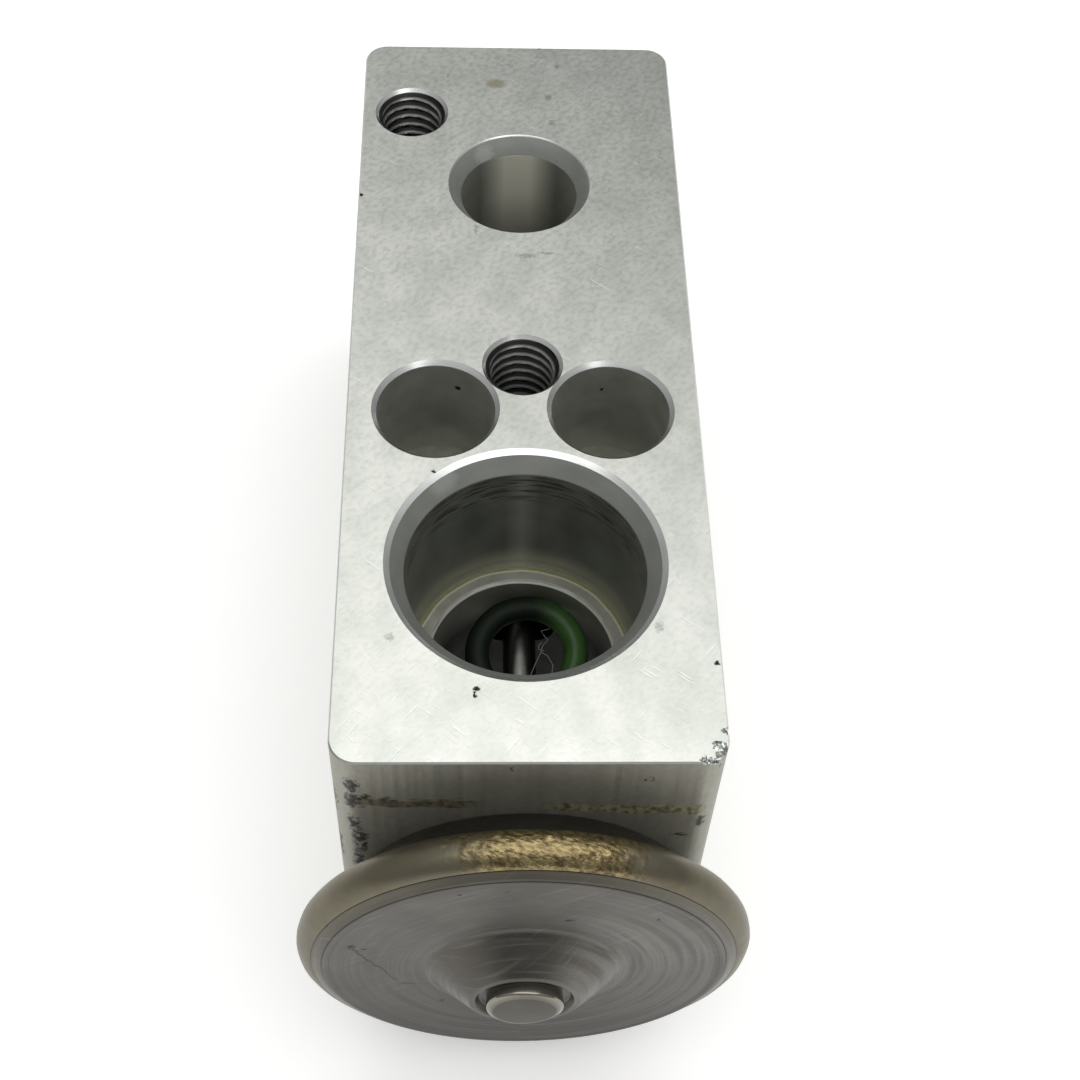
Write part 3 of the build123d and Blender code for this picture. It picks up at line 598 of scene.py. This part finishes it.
cutter(SUCTION_OUTLINE, 0, SUCTION_STATION, IN, finishes=bored_finishes)
cutter(SUCTION_OUTLINE, 0, SUCTION_STATION, OUT, finishes=bored_finishes)
cutter(INLET_OUTLINE, 0, INLET_STATION, IN, LIQUID_STEPS, reamed_finishes)
cutter(OUTLET_OUTLINE, 0, OUTLET_STATION, OUT, LIQUID_STEPS, reamed_finishes)
for side in (-1, 1):
    cutter(POCKET_OUTLINE, side * BOLT_SPACING / 2, BOLT_STATION, IN, POCKET_STEPS)
for x, where, depth in (FIXING_TAP, CORNER_TAP):
    tap_outline = [(0, -OVERRUN), (TAP_RADIUS + COUNTERSINK + OVERRUN, -OVERRUN), (TAP_RADIUS, COUNTERSINK),
                   (TAP_RADIUS, depth), (0, depth + TAP_POINT)]
    cutter(tap_outline, x, where, IN, TAP_STEPS)
cutters.append(placed("cutter", turned(
    "cutter", AXIS_OUTLINE, axis_at(0, station(0), AXIS_HEIGHT, ALONG), bored_finishes, steps=AXIS_STEPS)))

# Knocks: the block was dropped on one corner of its hose face, which is chipped. A chip is its X, how far it is from
# the head end, its Z and its radius, which swings by a share of itself.
KNOCKS = ((13.75, 0.9, 40.0, 1.0), (13.1, 1.5, 40.15, 0.5), (12.2, 0.15, 40.0, 0.55), (14.0, 2.5, 39.8, 0.55),
          (13.6, 0.3, 38.9, 0.5), (12.9, 0.2, 39.7, 0.45))
CHIP_MIDDLE = 0.75
CHIP_SWING = 0.7
CHIP_GRAIN = 2.2
for x, where, z, size in KNOCKS:
    chip = bmesh.new()
    bmesh.ops.create_icosphere(chip, subdivisions=3, radius=size)
    for vert in chip.verts:
        vert.co *= CHIP_MIDDLE + CHIP_SWING * noise.noise(vert.co * CHIP_GRAIN / size + Vector((x, where, z)))
        vert.co = (vert.co + Vector((x, station(where), z))) * MM
    chip_mesh = bpy.data.meshes.new("cutter")
    chip.to_mesh(chip_mesh)
    chip.free()
    chip_mesh.materials.append(chamfered)
    cutters.append(placed("cutter", chip_mesh))

blank = placed("blank", block_blank())
for tool in cutters:
    bite = blank.modifiers.new("bite", "BOOLEAN")
    bite.operation = "DIFFERENCE"
    bite.solver = "EXACT"
    bite.material_mode = "TRANSFER"
    bite.object = tool
bpy.context.view_layer.update()
cut_mesh = bpy.data.meshes.new_from_object(blank.evaluated_get(bpy.context.evaluated_depsgraph_get()))
cut_mesh.name = "machined_block"
for scrap in [blank, *cutters]:
    bpy.data.objects.remove(scrap)
placed("machined_block", cut_mesh, "block", ["valve_body"], crease=13)

# ---------------------------------------------------------------- the tapped holes' threads
# M6 by 1 threads cut by a tap. The crests carry a painted highlight, and the flanks painted shade that is almost black
# at the root. Each is a closed sleeve that lines its hole, and starts just below the countersink's edge.
THREAD_PITCH = 1.0
THREAD_CREST = 2.52
THREAD_ROOT = 2.96
THREAD_LINING = 2.999
THREAD_FLAT = 0.06
THREAD_STEPS = 96
THREAD_SLICES_PER_TURN = 14
THREAD_START = COUNTERSINK + 0.03


def tapped(name, x, where):
    """The finish of the thread about this hole: a painted highlight on the crests and painted shade, almost black, at
    the root.
    """
    made, tree, place = begun(name)
    radius = off_axis(tree, place, x, station(where))
    oil = grain(tree, place, (0.9, 0.9, 0.5), seed=4.4, detail=4.0)
    # Painted highlight on the crests; elsewhere painted shade, almost black at the root.
    crest_highlight = add(tree, "MapRange", {
        "Value": radius, "From Min": THREAD_CREST + 0.01, "From Max": THREAD_CREST + 0.2,
        "To Min": 1.0, "To Max": 0.0})
    crest_highlight_colour = laid(tree, oil, "#8E8E89", "#D2D3CF")
    surfaced(tree, laid(tree, crest_highlight, "#2B2C2A", crest_highlight_colour), 0.34, metallic=0.85)
    return made


def thread_radius(angle, depth):
    """The radius of the thread's inside at this angle and depth: a vee between root and crest, then countersunk."""
    phase = (depth / THREAD_PITCH - angle / tau) % 1.0
    rise = min(abs(phase - 0.5) * 2 * (1 + THREAD_FLAT), 1.0)
    radius = THREAD_ROOT + (THREAD_CREST - THREAD_ROOT) * rise
    return min(max(radius, TAP_RADIUS + COUNTERSINK - depth), THREAD_ROOT)


for (x, where, depth), name in ((FIXING_TAP, "fixing_thread"), (CORNER_TAP, "corner_thread")):
    length = depth - THREAD_START
    slices = int(length / THREAD_PITCH * THREAD_SLICES_PER_TURN)
    levels = [THREAD_START + length * level / slices for level in range(slices + 1)]
    sleeve = [(THREAD_LINING, levels[-1]), (THREAD_LINING, THREAD_START)] + [(THREAD_CREST, level) for level in levels]
    mesh = turned(
        name, sleeve, axis_at(x, station(where), BLOCK_DEPTH, IN), (tapped(name, x, where),), closed=True,
        steps=THREAD_STEPS,
        shaped=lambda angle, radius, level: (
            angle, radius if radius == THREAD_LINING else thread_radius(angle, level), level))
    placed(name, mesh, "block", crease=50)

# ---------------------------------------------------------------- the head's shells
# Two stainless pressings. The cap was turned flat on its face and has been handled and rubbed: fine curved scratches
# lie over a dull grey that painted shade darkens towards the table, with three turned grooves, a hairline of old
# residue and specks of dirt. The base flares out below the rim.
FACE_HEIGHT = 6.7
SHELL_RADIUS = 16.2
SHELL_STEPS = 240
JOINT_HEIGHT = 4.6
HEAD_AXIS = axis_at(0, station(0), AXIS_HEIGHT, BACK)
CAP_OUTLINE = rounded(
    (1.5, 5.4), (3.4, 5.4), (6.4, 5.3), (13.7, 5.3), (14.4, JOINT_HEIGHT), (16.15, JOINT_HEIGHT),
    (16.15, 6.15, 0.08), (15.5, 6.56, 0.5), (15.2, FACE_HEIGHT, 0.6), (7.35, FACE_HEIGHT, 0.9), (4.2, 9.2, 0.45),
    (3.75, 9.22, 0.15), (3.45, 8.68, 0.2), (1.5, 8.68))
BASE_OUTLINE = rounded(
    (6.5, -5.4), (9.6, -5.4, 0.0001), (9.95, -5.0), (9.95, 0), (12.6, 0, 0.4), (15.3, 3.1, 0.5), (16.15, 3.1),
    (16.15, 4.5), (14.4, 4.5), (11.6, 2.0), (6.5, 2.0))


def polar(tree, place):
    """The angle about the long axis, in radians from the hose side, and the radius from it in millimetres."""
    part = add(tree, "SeparateXYZ", {0: place})
    up = add(tree, "Math", {0: part.outputs["Z"], 1: AXIS_HEIGHT}, operation="SUBTRACT")
    angle = add(tree, "Math", {0: part.outputs["X"], 1: up}, operation="ARCTAN2")
    flat = add(tree, "CombineXYZ", {"X": part.outputs["X"], "Y": up})
    return angle, add(tree, "VectorMath", {0: flat}, operation="LENGTH")


# A speck is its X, its Z and its two half sizes. A groove is its radius, its width and how dark it is.
HEAD_SPECKS = (
    (-14.7, 27.0, 0.3, 0.45), (-6.7, 36.4, 0.12, 0.5), (-6.2, 36.1, 0.4, 0.12), (-4.8, 33.3, 0.25, 0.2),
    (-11.9, 24.0, 0.3, 0.25), (-6.3, 13.9, 0.25, 0.5), (-12.9, 24.4, 0.4, 0.3), (-8.7, 17.4, 0.9, 0.12),
    (9.5, 29.0, 0.2, 0.2), (3.0, 28.9, 0.5, 0.16), (-1.5, 33.8, 0.4, 0.1),
)
HAIRLINE_START = (-12.5, 0.0, 24.8)
HAIRLINE_ALONG = (0.46, 0.0, -0.89)
HAIRLINE_ACROSS = (0.89, 0.0, 0.46)
HAIRLINE_HALF_LENGTH = 3.75
GROOVES = ((15.3, 0.07, 0.75), (14.75, 0.04, 0.45), (16.12, 0.06, 0.85))
stainless, tree, place = begun("scuffed_stainless_steel")
angle, radius = polar(tree, place)
turned_place = add(tree, "CombineXYZ", {"X": angle, "Y": radius})
level_place = add(tree, "VectorRotate", {"Vector": place, "Angle": pi / 2}, rotation_type="X_AXIS")
arcs = grain(tree, turned_place, (1.1, 0.26, 1.0), seed=2.2, detail=4.0)
wide_arcs = grain(tree, turned_place, (0.9, 0.5, 1.0), seed=6.1, detail=3.0)
rubs = grain(tree, level_place, (5.0, 0.3, 5.0), turn=radians(35), seed=1.3, detail=5.0)
smears = grain(tree, place, (3.5, 3.5, 3.5), seed=3.8, detail=5.0)
rub_lines = add(tree, "MapRange", {"Value": rubs, "From Min": 0.57, "From Max": 0.72})
arc_lines = add(tree, "MapRange", {"Value": arcs, "From Min": 0.55, "From Max": 0.75})
both_lines = add(tree, "Math", {0: rub_lines, 1: arc_lines}, operation="MAXIMUM")
wide_lines = add(tree, "MapRange", {"Value": wide_arcs, "From Min": 0.4, "From Max": 0.62, "To Max": 0.75})
on_right = add(tree, "MapRange", {"Value": angle, "From Min": 0.3, "From Max": 0.9})
arced = add(tree, "Math", {0: wide_lines, 1: on_right}, operation="MULTIPLY")
# Painted shade: the grey darkens towards the table.
painted_low_shade = along(tree, place, "Z", 8.0, 24.0, 0.85, 0.0)
tinted = add(tree, "MapRange", {"Value": radius, "From Min": 15.25, "From Max": 15.9, "To Max": 0.5})
groove_lines = None
for line_radius, line_width, darkness in GROOVES:
    here = beside(tree, radius, line_radius, line_width / 2, line_width, darkness)
    groove_lines = add(tree, "Math", {0: groove_lines, 1: here}, operation="MAXIMUM") if groove_lines else here
wander = add(tree, "TexNoise", {"Vector": place, "Scale": 1.2, "Detail": 3.0}).outputs["Color"]
strayed = add(tree, "VectorMath", {0: wander, 1: (0.9, 0.9, 0.9), 2: place}, operation="MULTIPLY_ADD")
from_start = add(tree, "VectorMath", {0: strayed, 1: HAIRLINE_START}, operation="SUBTRACT")
off_hairline = add(tree, "VectorMath", {0: from_start, 1: HAIRLINE_ACROSS}, operation="DOT_PRODUCT")
down_hairline = add(tree, "VectorMath", {0: from_start, 1: HAIRLINE_ALONG}, operation="DOT_PRODUCT")
on_hairline = beside(tree, off_hairline, 0.0, 0.05, 0.12, 0.8)
within = beside(tree, down_hairline, HAIRLINE_HALF_LENGTH, HAIRLINE_HALF_LENGTH - 0.5, HAIRLINE_HALF_LENGTH)
hairline = add(tree, "Math", {0: on_hairline, 1: within}, operation="MULTIPLY")
specks = spots(tree, place, 0.8, *[
    ((x, station(0) - FACE_HEIGHT, z), (half_x, END_MARK_REACH, half_z)) for x, z, half_x, half_z in HEAD_SPECKS])
dirt = add(tree, "Math", {0: specks, 1: hairline}, operation="MAXIMUM")
colour = laid(
    tree, smears, "#45423D", "#66635D", (arced, "#75736D"), (both_lines, "#8B8882", 0.3), (painted_low_shade, "#33302B"),
    (tinted, "#6A6557"), (groove_lines, "#1B1A17"), (dirt, "#1D1B18"))
bare = add(tree, "MapRange", {"Value": tinted, "From Max": 0.5, "To Min": 0.9, "To Max": 0.7})
surfaced(tree, colour, (arcs, 0.26, 0.44), metallic=bare, relief=both_lines, depth=0.008, strength=0.5)

for name, outline, node in (("cap_shell", CAP_OUTLINE, "head_cap"), ("base_shell", BASE_OUTLINE, "head_base")):
    shell_mesh = turned(name, outline, HEAD_AXIS, (stainless,), closed=True, steps=SHELL_STEPS)
    placed(name, shell_mesh, "block", [node], crease=25)

# ---------------------------------------------------------------- the rim's weld
# The shells and the diaphragm are fused at the rim in one run, dressed round. Its skin is a warm yellow-grey heat
# tint, and the last stretch, where the run closes, is crinkled and bronze.
BEAD_BACK = 3.1
BEAD_FRONT = 6.15
BEAD_BULGE = 1.04
BEAD_OVERLAP = 0.1
BEAD_STEPS = 14
BEAD_TURN_STEPS = 900
CRINKLE_MIDDLE = 0.09
CRINKLE_HALF_ANGLE = 0.48
CRINKLE_FADE = 0.15
CRINKLE_DEPTH = 0.10
CRINKLE_LENGTH = 0.62
CRINKLE_WIDTH = 0.3
RIPPLES = 23
RIPPLE_DEPTH = 0.012
UNEVENNESS = 0.02

weld, tree, place = begun("heat_tinted_weld")
angle, radius = polar(tree, place)
tint = grain(tree, place, (5.0, 5.0, 5.0), seed=1.7, detail=4.0)
film = grain(tree, place, (1.1, 1.1, 1.1), seed=4.9, detail=5.0)
around = add(tree, "Math", {0: angle, 1: SHELL_RADIUS}, operation="MULTIPLY")
behind = add(tree, "SeparateXYZ", {0: place}).outputs["Y"]
unrolled = add(tree, "CombineXYZ", {"X": around, "Y": behind, "Z": radius})
crinkle = grain(tree, unrolled, (0.5, 0.26, 0.6), turn=radians(18), seed=6.6, detail=3.0)
mist = add(tree, "MapRange", {"Value": film, "From Min": 0.45, "From Max": 0.7})
from_middle = add(tree, "Math", {0: angle, 1: CRINKLE_MIDDLE}, operation="SUBTRACT")
off_top = add(tree, "Math", {0: from_middle}, operation="ABSOLUTE")
ragged = add(tree, "Math", {0: film, 1: 0.5, 2: off_top}, operation="MULTIPLY_ADD")
closing = add(tree, "MapRange", {
    "Value": ragged, "From Min": CRINKLE_HALF_ANGLE, "From Max": CRINKLE_HALF_ANGLE + 0.22,
    "To Min": 1.0, "To Max": 0.0})
fold = add(tree, "MapRange", {"Value": crinkle, "From Min": 0.3, "From Max": 0.62})
bronze = laid(tree, fold, "#4A3E28", "#968760")
colour = laid(tree, tint, "#5E5546", "#7B7667", (mist, "#6F6D58"), (closing, bronze))
shine = add(tree, "MapRange", {"Value": closing, "To Min": 0.38, "To Max": 0.22})
creases = add(tree, "Math", {0: crinkle, 1: closing}, operation="MULTIPLY")
skin = add(tree, "Math", {0: creases, 1: 5.0, 2: film}, operation="MULTIPLY_ADD")
surfaced(tree, colour, shine, metallic=0.85, relief=skin, depth=0.03, strength=0.6)


def crinkled(angle, radius, height):
    """The bead's surface, a little uneven all round and folded where the run closes at the top of the rim."""
    if radius <= SHELL_RADIUS:
        return angle, radius, height
    off_closing = abs((pi / 2 - CRINKLE_MIDDLE - angle + pi) % tau - pi)
    amount = min(max((CRINKLE_HALF_ANGLE - off_closing) / CRINKLE_FADE, 0), 1)
    spot = Vector((SHELL_RADIUS * angle / CRINKLE_LENGTH, radius / CRINKLE_WIDTH, height / CRINKLE_WIDTH))
    fold = noise.noise(spot) + 0.5 * noise.noise(spot * 2.3)
    lumps = noise.noise(Vector((5 * cos(angle), 5 * sin(angle), height)))
    swell = RIPPLE_DEPTH * sin(RIPPLES * angle) + UNEVENNESS * lumps
    return angle, min(radius + amount * CRINKLE_DEPTH * fold + swell, SHELL_RADIUS + BEAD_BULGE), height


half_height = (BEAD_FRONT - BEAD_BACK) / 2
bead_centre = (BEAD_BULGE ** 2 - half_height ** 2) / (2 * BEAD_BULGE)
bead_radius = BEAD_BULGE - bead_centre
bead_sweep = atan2(half_height, -bead_centre)
bead_outline = []
for step in range(BEAD_STEPS + 1):
    tilt = bead_sweep * (1 - 2 * step / BEAD_STEPS)
    bead_outline.append((SHELL_RADIUS + bead_centre + bead_radius * cos(tilt),
                         (BEAD_FRONT + BEAD_BACK) / 2 + bead_radius * sin(tilt)))
bead_outline += [(SHELL_RADIUS - BEAD_OVERLAP, BEAD_BACK), (SHELL_RADIUS - BEAD_OVERLAP, BEAD_FRONT)]
bead_mesh = turned(
    "rim_bead", bead_outline, HEAD_AXIS, (weld,), closed=True, steps=BEAD_TURN_STEPS, shaped=crinkled)
placed("rim_bead", bead_mesh, "block", ["rim_weld"], crease=40)

# ---------------------------------------------------------------- the filling hole's plug
# A soft steel pin welded shut and rubbed over: a low, slightly dished head with a painted highlight round its edge and
# a dull olive grey top.
PLUG_RADIUS = 2.9
PLUG_STEPS = 96
PLUG_HEAD_HEIGHT = 9.0
PLUG_OUT_OF_ROUND = 0.012
PLUG_TILT = 0.02
PLUG_OUTLINE = rounded(
    (0, 6.5), (1.5, 6.5), (1.5, 8.68), (2.88, 8.68), (2.93, 9.78, 0.22), (2.55, 10.0, 0.2), (0, 10.05), steps=4)
tinned, tree, place = begun("tinned_steel")
_, radius = polar(tree, place)
mottle = grain(tree, place, (1.6, 1.6, 1.6), seed=2.9, detail=5.0)
# Painted highlight round the head's edge.
painted_edge_highlight = add(tree, "MapRange", {"Value": radius, "From Min": 2.3, "From Max": 2.8})
colour = laid(tree, mottle, "#36342A", "#4B483D", (painted_edge_highlight, "#8C897E"))
edge_roughness = add(tree, "MapRange", {"Value": painted_edge_highlight, "To Min": 0.36, "To Max": 0.16})
surfaced(tree, colour, edge_roughness, metallic=0.85, relief=mottle, depth=0.03, strength=0.4)


def rubbed(angle, radius, height):
    """The plug's head, no longer quite round or level."""
    if height < PLUG_HEAD_HEIGHT:
        return angle, radius, height
    lean = PLUG_TILT * sin(2 * angle) * radius / PLUG_RADIUS
    return angle, radius * (1 + PLUG_OUT_OF_ROUND * sin(3 * angle + 1)), height + lean - PLUG_TILT


plug_mesh = turned("filling_plug", PLUG_OUTLINE, HEAD_AXIS, (tinned,), steps=PLUG_STEPS, shaped=rubbed)
placed("filling_plug", plug_mesh, "block", ["charge_plug"], crease=40)

# ---------------------------------------------------------------- the seals
# O-rings in green nitrile rubber, oiled, with a soft shine. A painted shadow, near black, covers their left side seen
# from the head, where the suction port's wall shades the loose one.
SEAL_TUBE_STEPS = 40
nitrile, tree, place = begun("green_nitrile_rubber")
bloom = grain(tree, place, (1.5, 1.5, 1.5), seed=5.5, detail=3.0)
across = add(tree, "SeparateXYZ", {0: place}).outputs["X"]
# Painted shadow: near black on the left, seen from the head.
shadow_reach = add(tree, "Math", {0: bloom, 1: 1.5, 2: across}, operation="MULTIPLY_ADD")
painted_shadow = add(tree, "MapRange", {"Value": shadow_reach, "From Min": 1.8, "From Max": 4.9, "To Min": 0.95, "To Max": 0.0})
colour = laid(tree, bloom, "#284420", "#3B5C2A", (painted_shadow, "#050B08"))
wet = add(tree, "MapRange", {"Value": painted_shadow, "To Min": 0.26, "To Max": 0.6})
surfaced(tree, colour, wet, specular=0.2)


def finish(material, *nodes):
    """Gives nodes whose plain shape is right their real finish."""
    for node in nodes:
        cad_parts[node].data.materials.clear()
        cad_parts[node].data.materials.append(material)


SPIGOT_SEAL_CENTRE = 4.1
SPIGOT_SEAL_TUBE = 2.0
SPIGOT_SEAL_LEAN = radians(10)
SPIGOT_SEAL_TURN = radians(12)
SEAL_GAP = 0.02
ROD_RADIUS = 1.4
off_centre = RETURN_RADIUS - SPIGOT_SEAL_TUBE / 2 - SEAL_GAP - SPIGOT_SEAL_CENTRE * cos(SPIGOT_SEAL_LEAN)
above_axis = ROD_RADIUS + SPIGOT_SEAL_TUBE / 2 + SEAL_GAP + SPIGOT_SEAL_CENTRE * sin(SPIGOT_SEAL_LEAN)
spigot_place = (
    Matrix.Scale(MM, 4) @ Matrix.Translation((0, station(SUCTION_STATION), AXIS_HEIGHT))
    @ Matrix.Rotation(-SPIGOT_SEAL_TURN, 4, "Z") @ Matrix.Translation((0, off_centre, above_axis))
    @ Matrix.Rotation(SPIGOT_SEAL_LEAN, 4, "X"))
section = [(SPIGOT_SEAL_CENTRE + SPIGOT_SEAL_TUBE / 2 * cos(tau * step / SEAL_TUBE_STEPS),
            SPIGOT_SEAL_TUBE / 2 * sin(tau * step / SEAL_TUBE_STEPS)) for step in range(SEAL_TUBE_STEPS)]
seal_mesh = turned("spigot_o_ring", section, spigot_place, (nitrile,), closed=True)
placed("spigot_o_ring", seal_mesh, "block", ["spigot_seal"], crease=180)
finish(nitrile, "head_seal", "rod_seal", "adjuster_seal")

# ---------------------------------------------------------------- a thread of lint
# A frayed cotton thread from a wiping cloth lies in the suction port across the loose O-ring. It is 0.08 mm thick,
# forks once and has a small loop beside it. Each strand is its points in millimetres.
LINT_RADIUS = 0.04
LINT_SIDES = 6
LINT = (
    ((3.14, -15.5, 23.1), (2.7, -15.75, 22.9), (1.78, -15.9, 22.6), (2.1, -16.4, 22.5), (2.36, -16.7, 22.5),
     (1.9, -17.3, 22.6), (1.74, -17.9, 22.5), (1.3, -18.9, 22.4), (0.79, -20.2, 22.3)),
    ((1.74, -17.9, 22.5), (2.3, -18.3, 22.5), (2.72, -19.1, 22.4), (2.6, -20.0, 22.3)),
    ((1.9, -16.9, 22.5), (1.6, -17.2, 22.55), (1.55, -17.6, 22.5), (2.0, -17.8, 22.5)),
)
cotton = new_material("grey_cotton_lint")
surfaced(cotton.node_tree, "#787A75", 0.9)
lint_verts, lint_faces = [], []
for strand in LINT:
    first = len(lint_verts)
    points = [Vector(point) for point in strand]
    for index, point in enumerate(points):
        course = (points[min(index + 1, len(points) - 1)] - points[max(index - 1, 0)]).normalized()
        side = course.cross((0, 0, 1)).normalized()
        up = side.cross(course)
        for corner in range(LINT_SIDES):
            turn = tau * corner / LINT_SIDES
            lint_verts.append((point + LINT_RADIUS * (side * cos(turn) + up * sin(turn))) * MM)
    for ring in range(len(points) - 1):
        for corner in range(LINT_SIDES):
            here = first + ring * LINT_SIDES + corner
            neighbour = first + ring * LINT_SIDES + (corner + 1) % LINT_SIDES
            lint_faces.append((here, neighbour, neighbour + LINT_SIDES, here + LINT_SIDES))
    last = first + (len(points) - 1) * LINT_SIDES
    lint_faces.append(tuple(range(first + LINT_SIDES - 1, first - 1, -1)))
    lint_faces.append(tuple(range(last, last + LINT_SIDES)))
lint_mesh = bpy.data.meshes.new("lint")
lint_mesh.from_pydata(lint_verts, [], lint_faces)
lint_mesh.materials.append(cotton)
lint = placed("lint", lint_mesh, crease=180)
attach(lint, "block")

# ---------------------------------------------------------------- the rod and its bush
# The rod is centreless-ground stainless steel, bright with faint grinding rings, and so is the ball that it pushes.
# The rod runs in a black acetal bush, set back in the suction port's far wall.
ground_steel, tree, place = begun("ground_stainless_steel")
grinding = grain(tree, place, (3.0, 0.12, 3.0), seed=3.3)
colour = laid(tree, grinding, "#959594", "#B5B4B2")
surfaced(tree, colour, 0.28, metallic=1.0, relief=grinding, depth=0.004, strength=0.4)

acetal, tree, place = begun("black_acetal")
grime = grain(tree, place, (1.0, 1.0, 1.0), seed=8.8, detail=4.0)
surfaced(tree, laid(tree, grime, "#050505", "#0E0F0E"), 0.4)

finish(ground_steel, "push_rod", "valve_ball")
finish(acetal, "rod_bush")

# ---------------------------------------------------------------- the parts inside the block and the head
# The ball's carrier is pressed steel, and the spring is stainless wire. The stop plate and the adjusting screw are
# turned brass. The diaphragm and the damping cup are stainless sheet.
turned_brass, tree, place = begun("turned_brass")
angle, radius = polar(tree, place)
turned_place = add(tree, "CombineXYZ", {"X": angle, "Y": radius})
lathe_rings = grain(tree, turned_place, (20.0, 0.15, 1.0), seed=2.0)
tarnish = grain(tree, place, (3.0, 3.0, 3.0), seed=5.1, detail=4.0)
colour = laid(tree, tarnish, "#9C7F45", "#C9AC6C")
surfaced(tree, colour, 0.3, metallic=1.0, relief=lathe_rings, depth=0.01, strength=0.5)

spring_steel, tree, place = begun("drawn_spring_wire")
drawing = grain(tree, place, (0.6, 0.6, 0.6), seed=1.2, detail=4.0)
surfaced(tree, laid(tree, drawing, "#6E6C68", "#A09E99"), 0.3, metallic=1.0)

finish(turned_brass, "pressure_plate", "adjusting_screw")
finish(spring_steel, "superheat_spring", "ball_carrier", "damping_clip", "diaphragm")
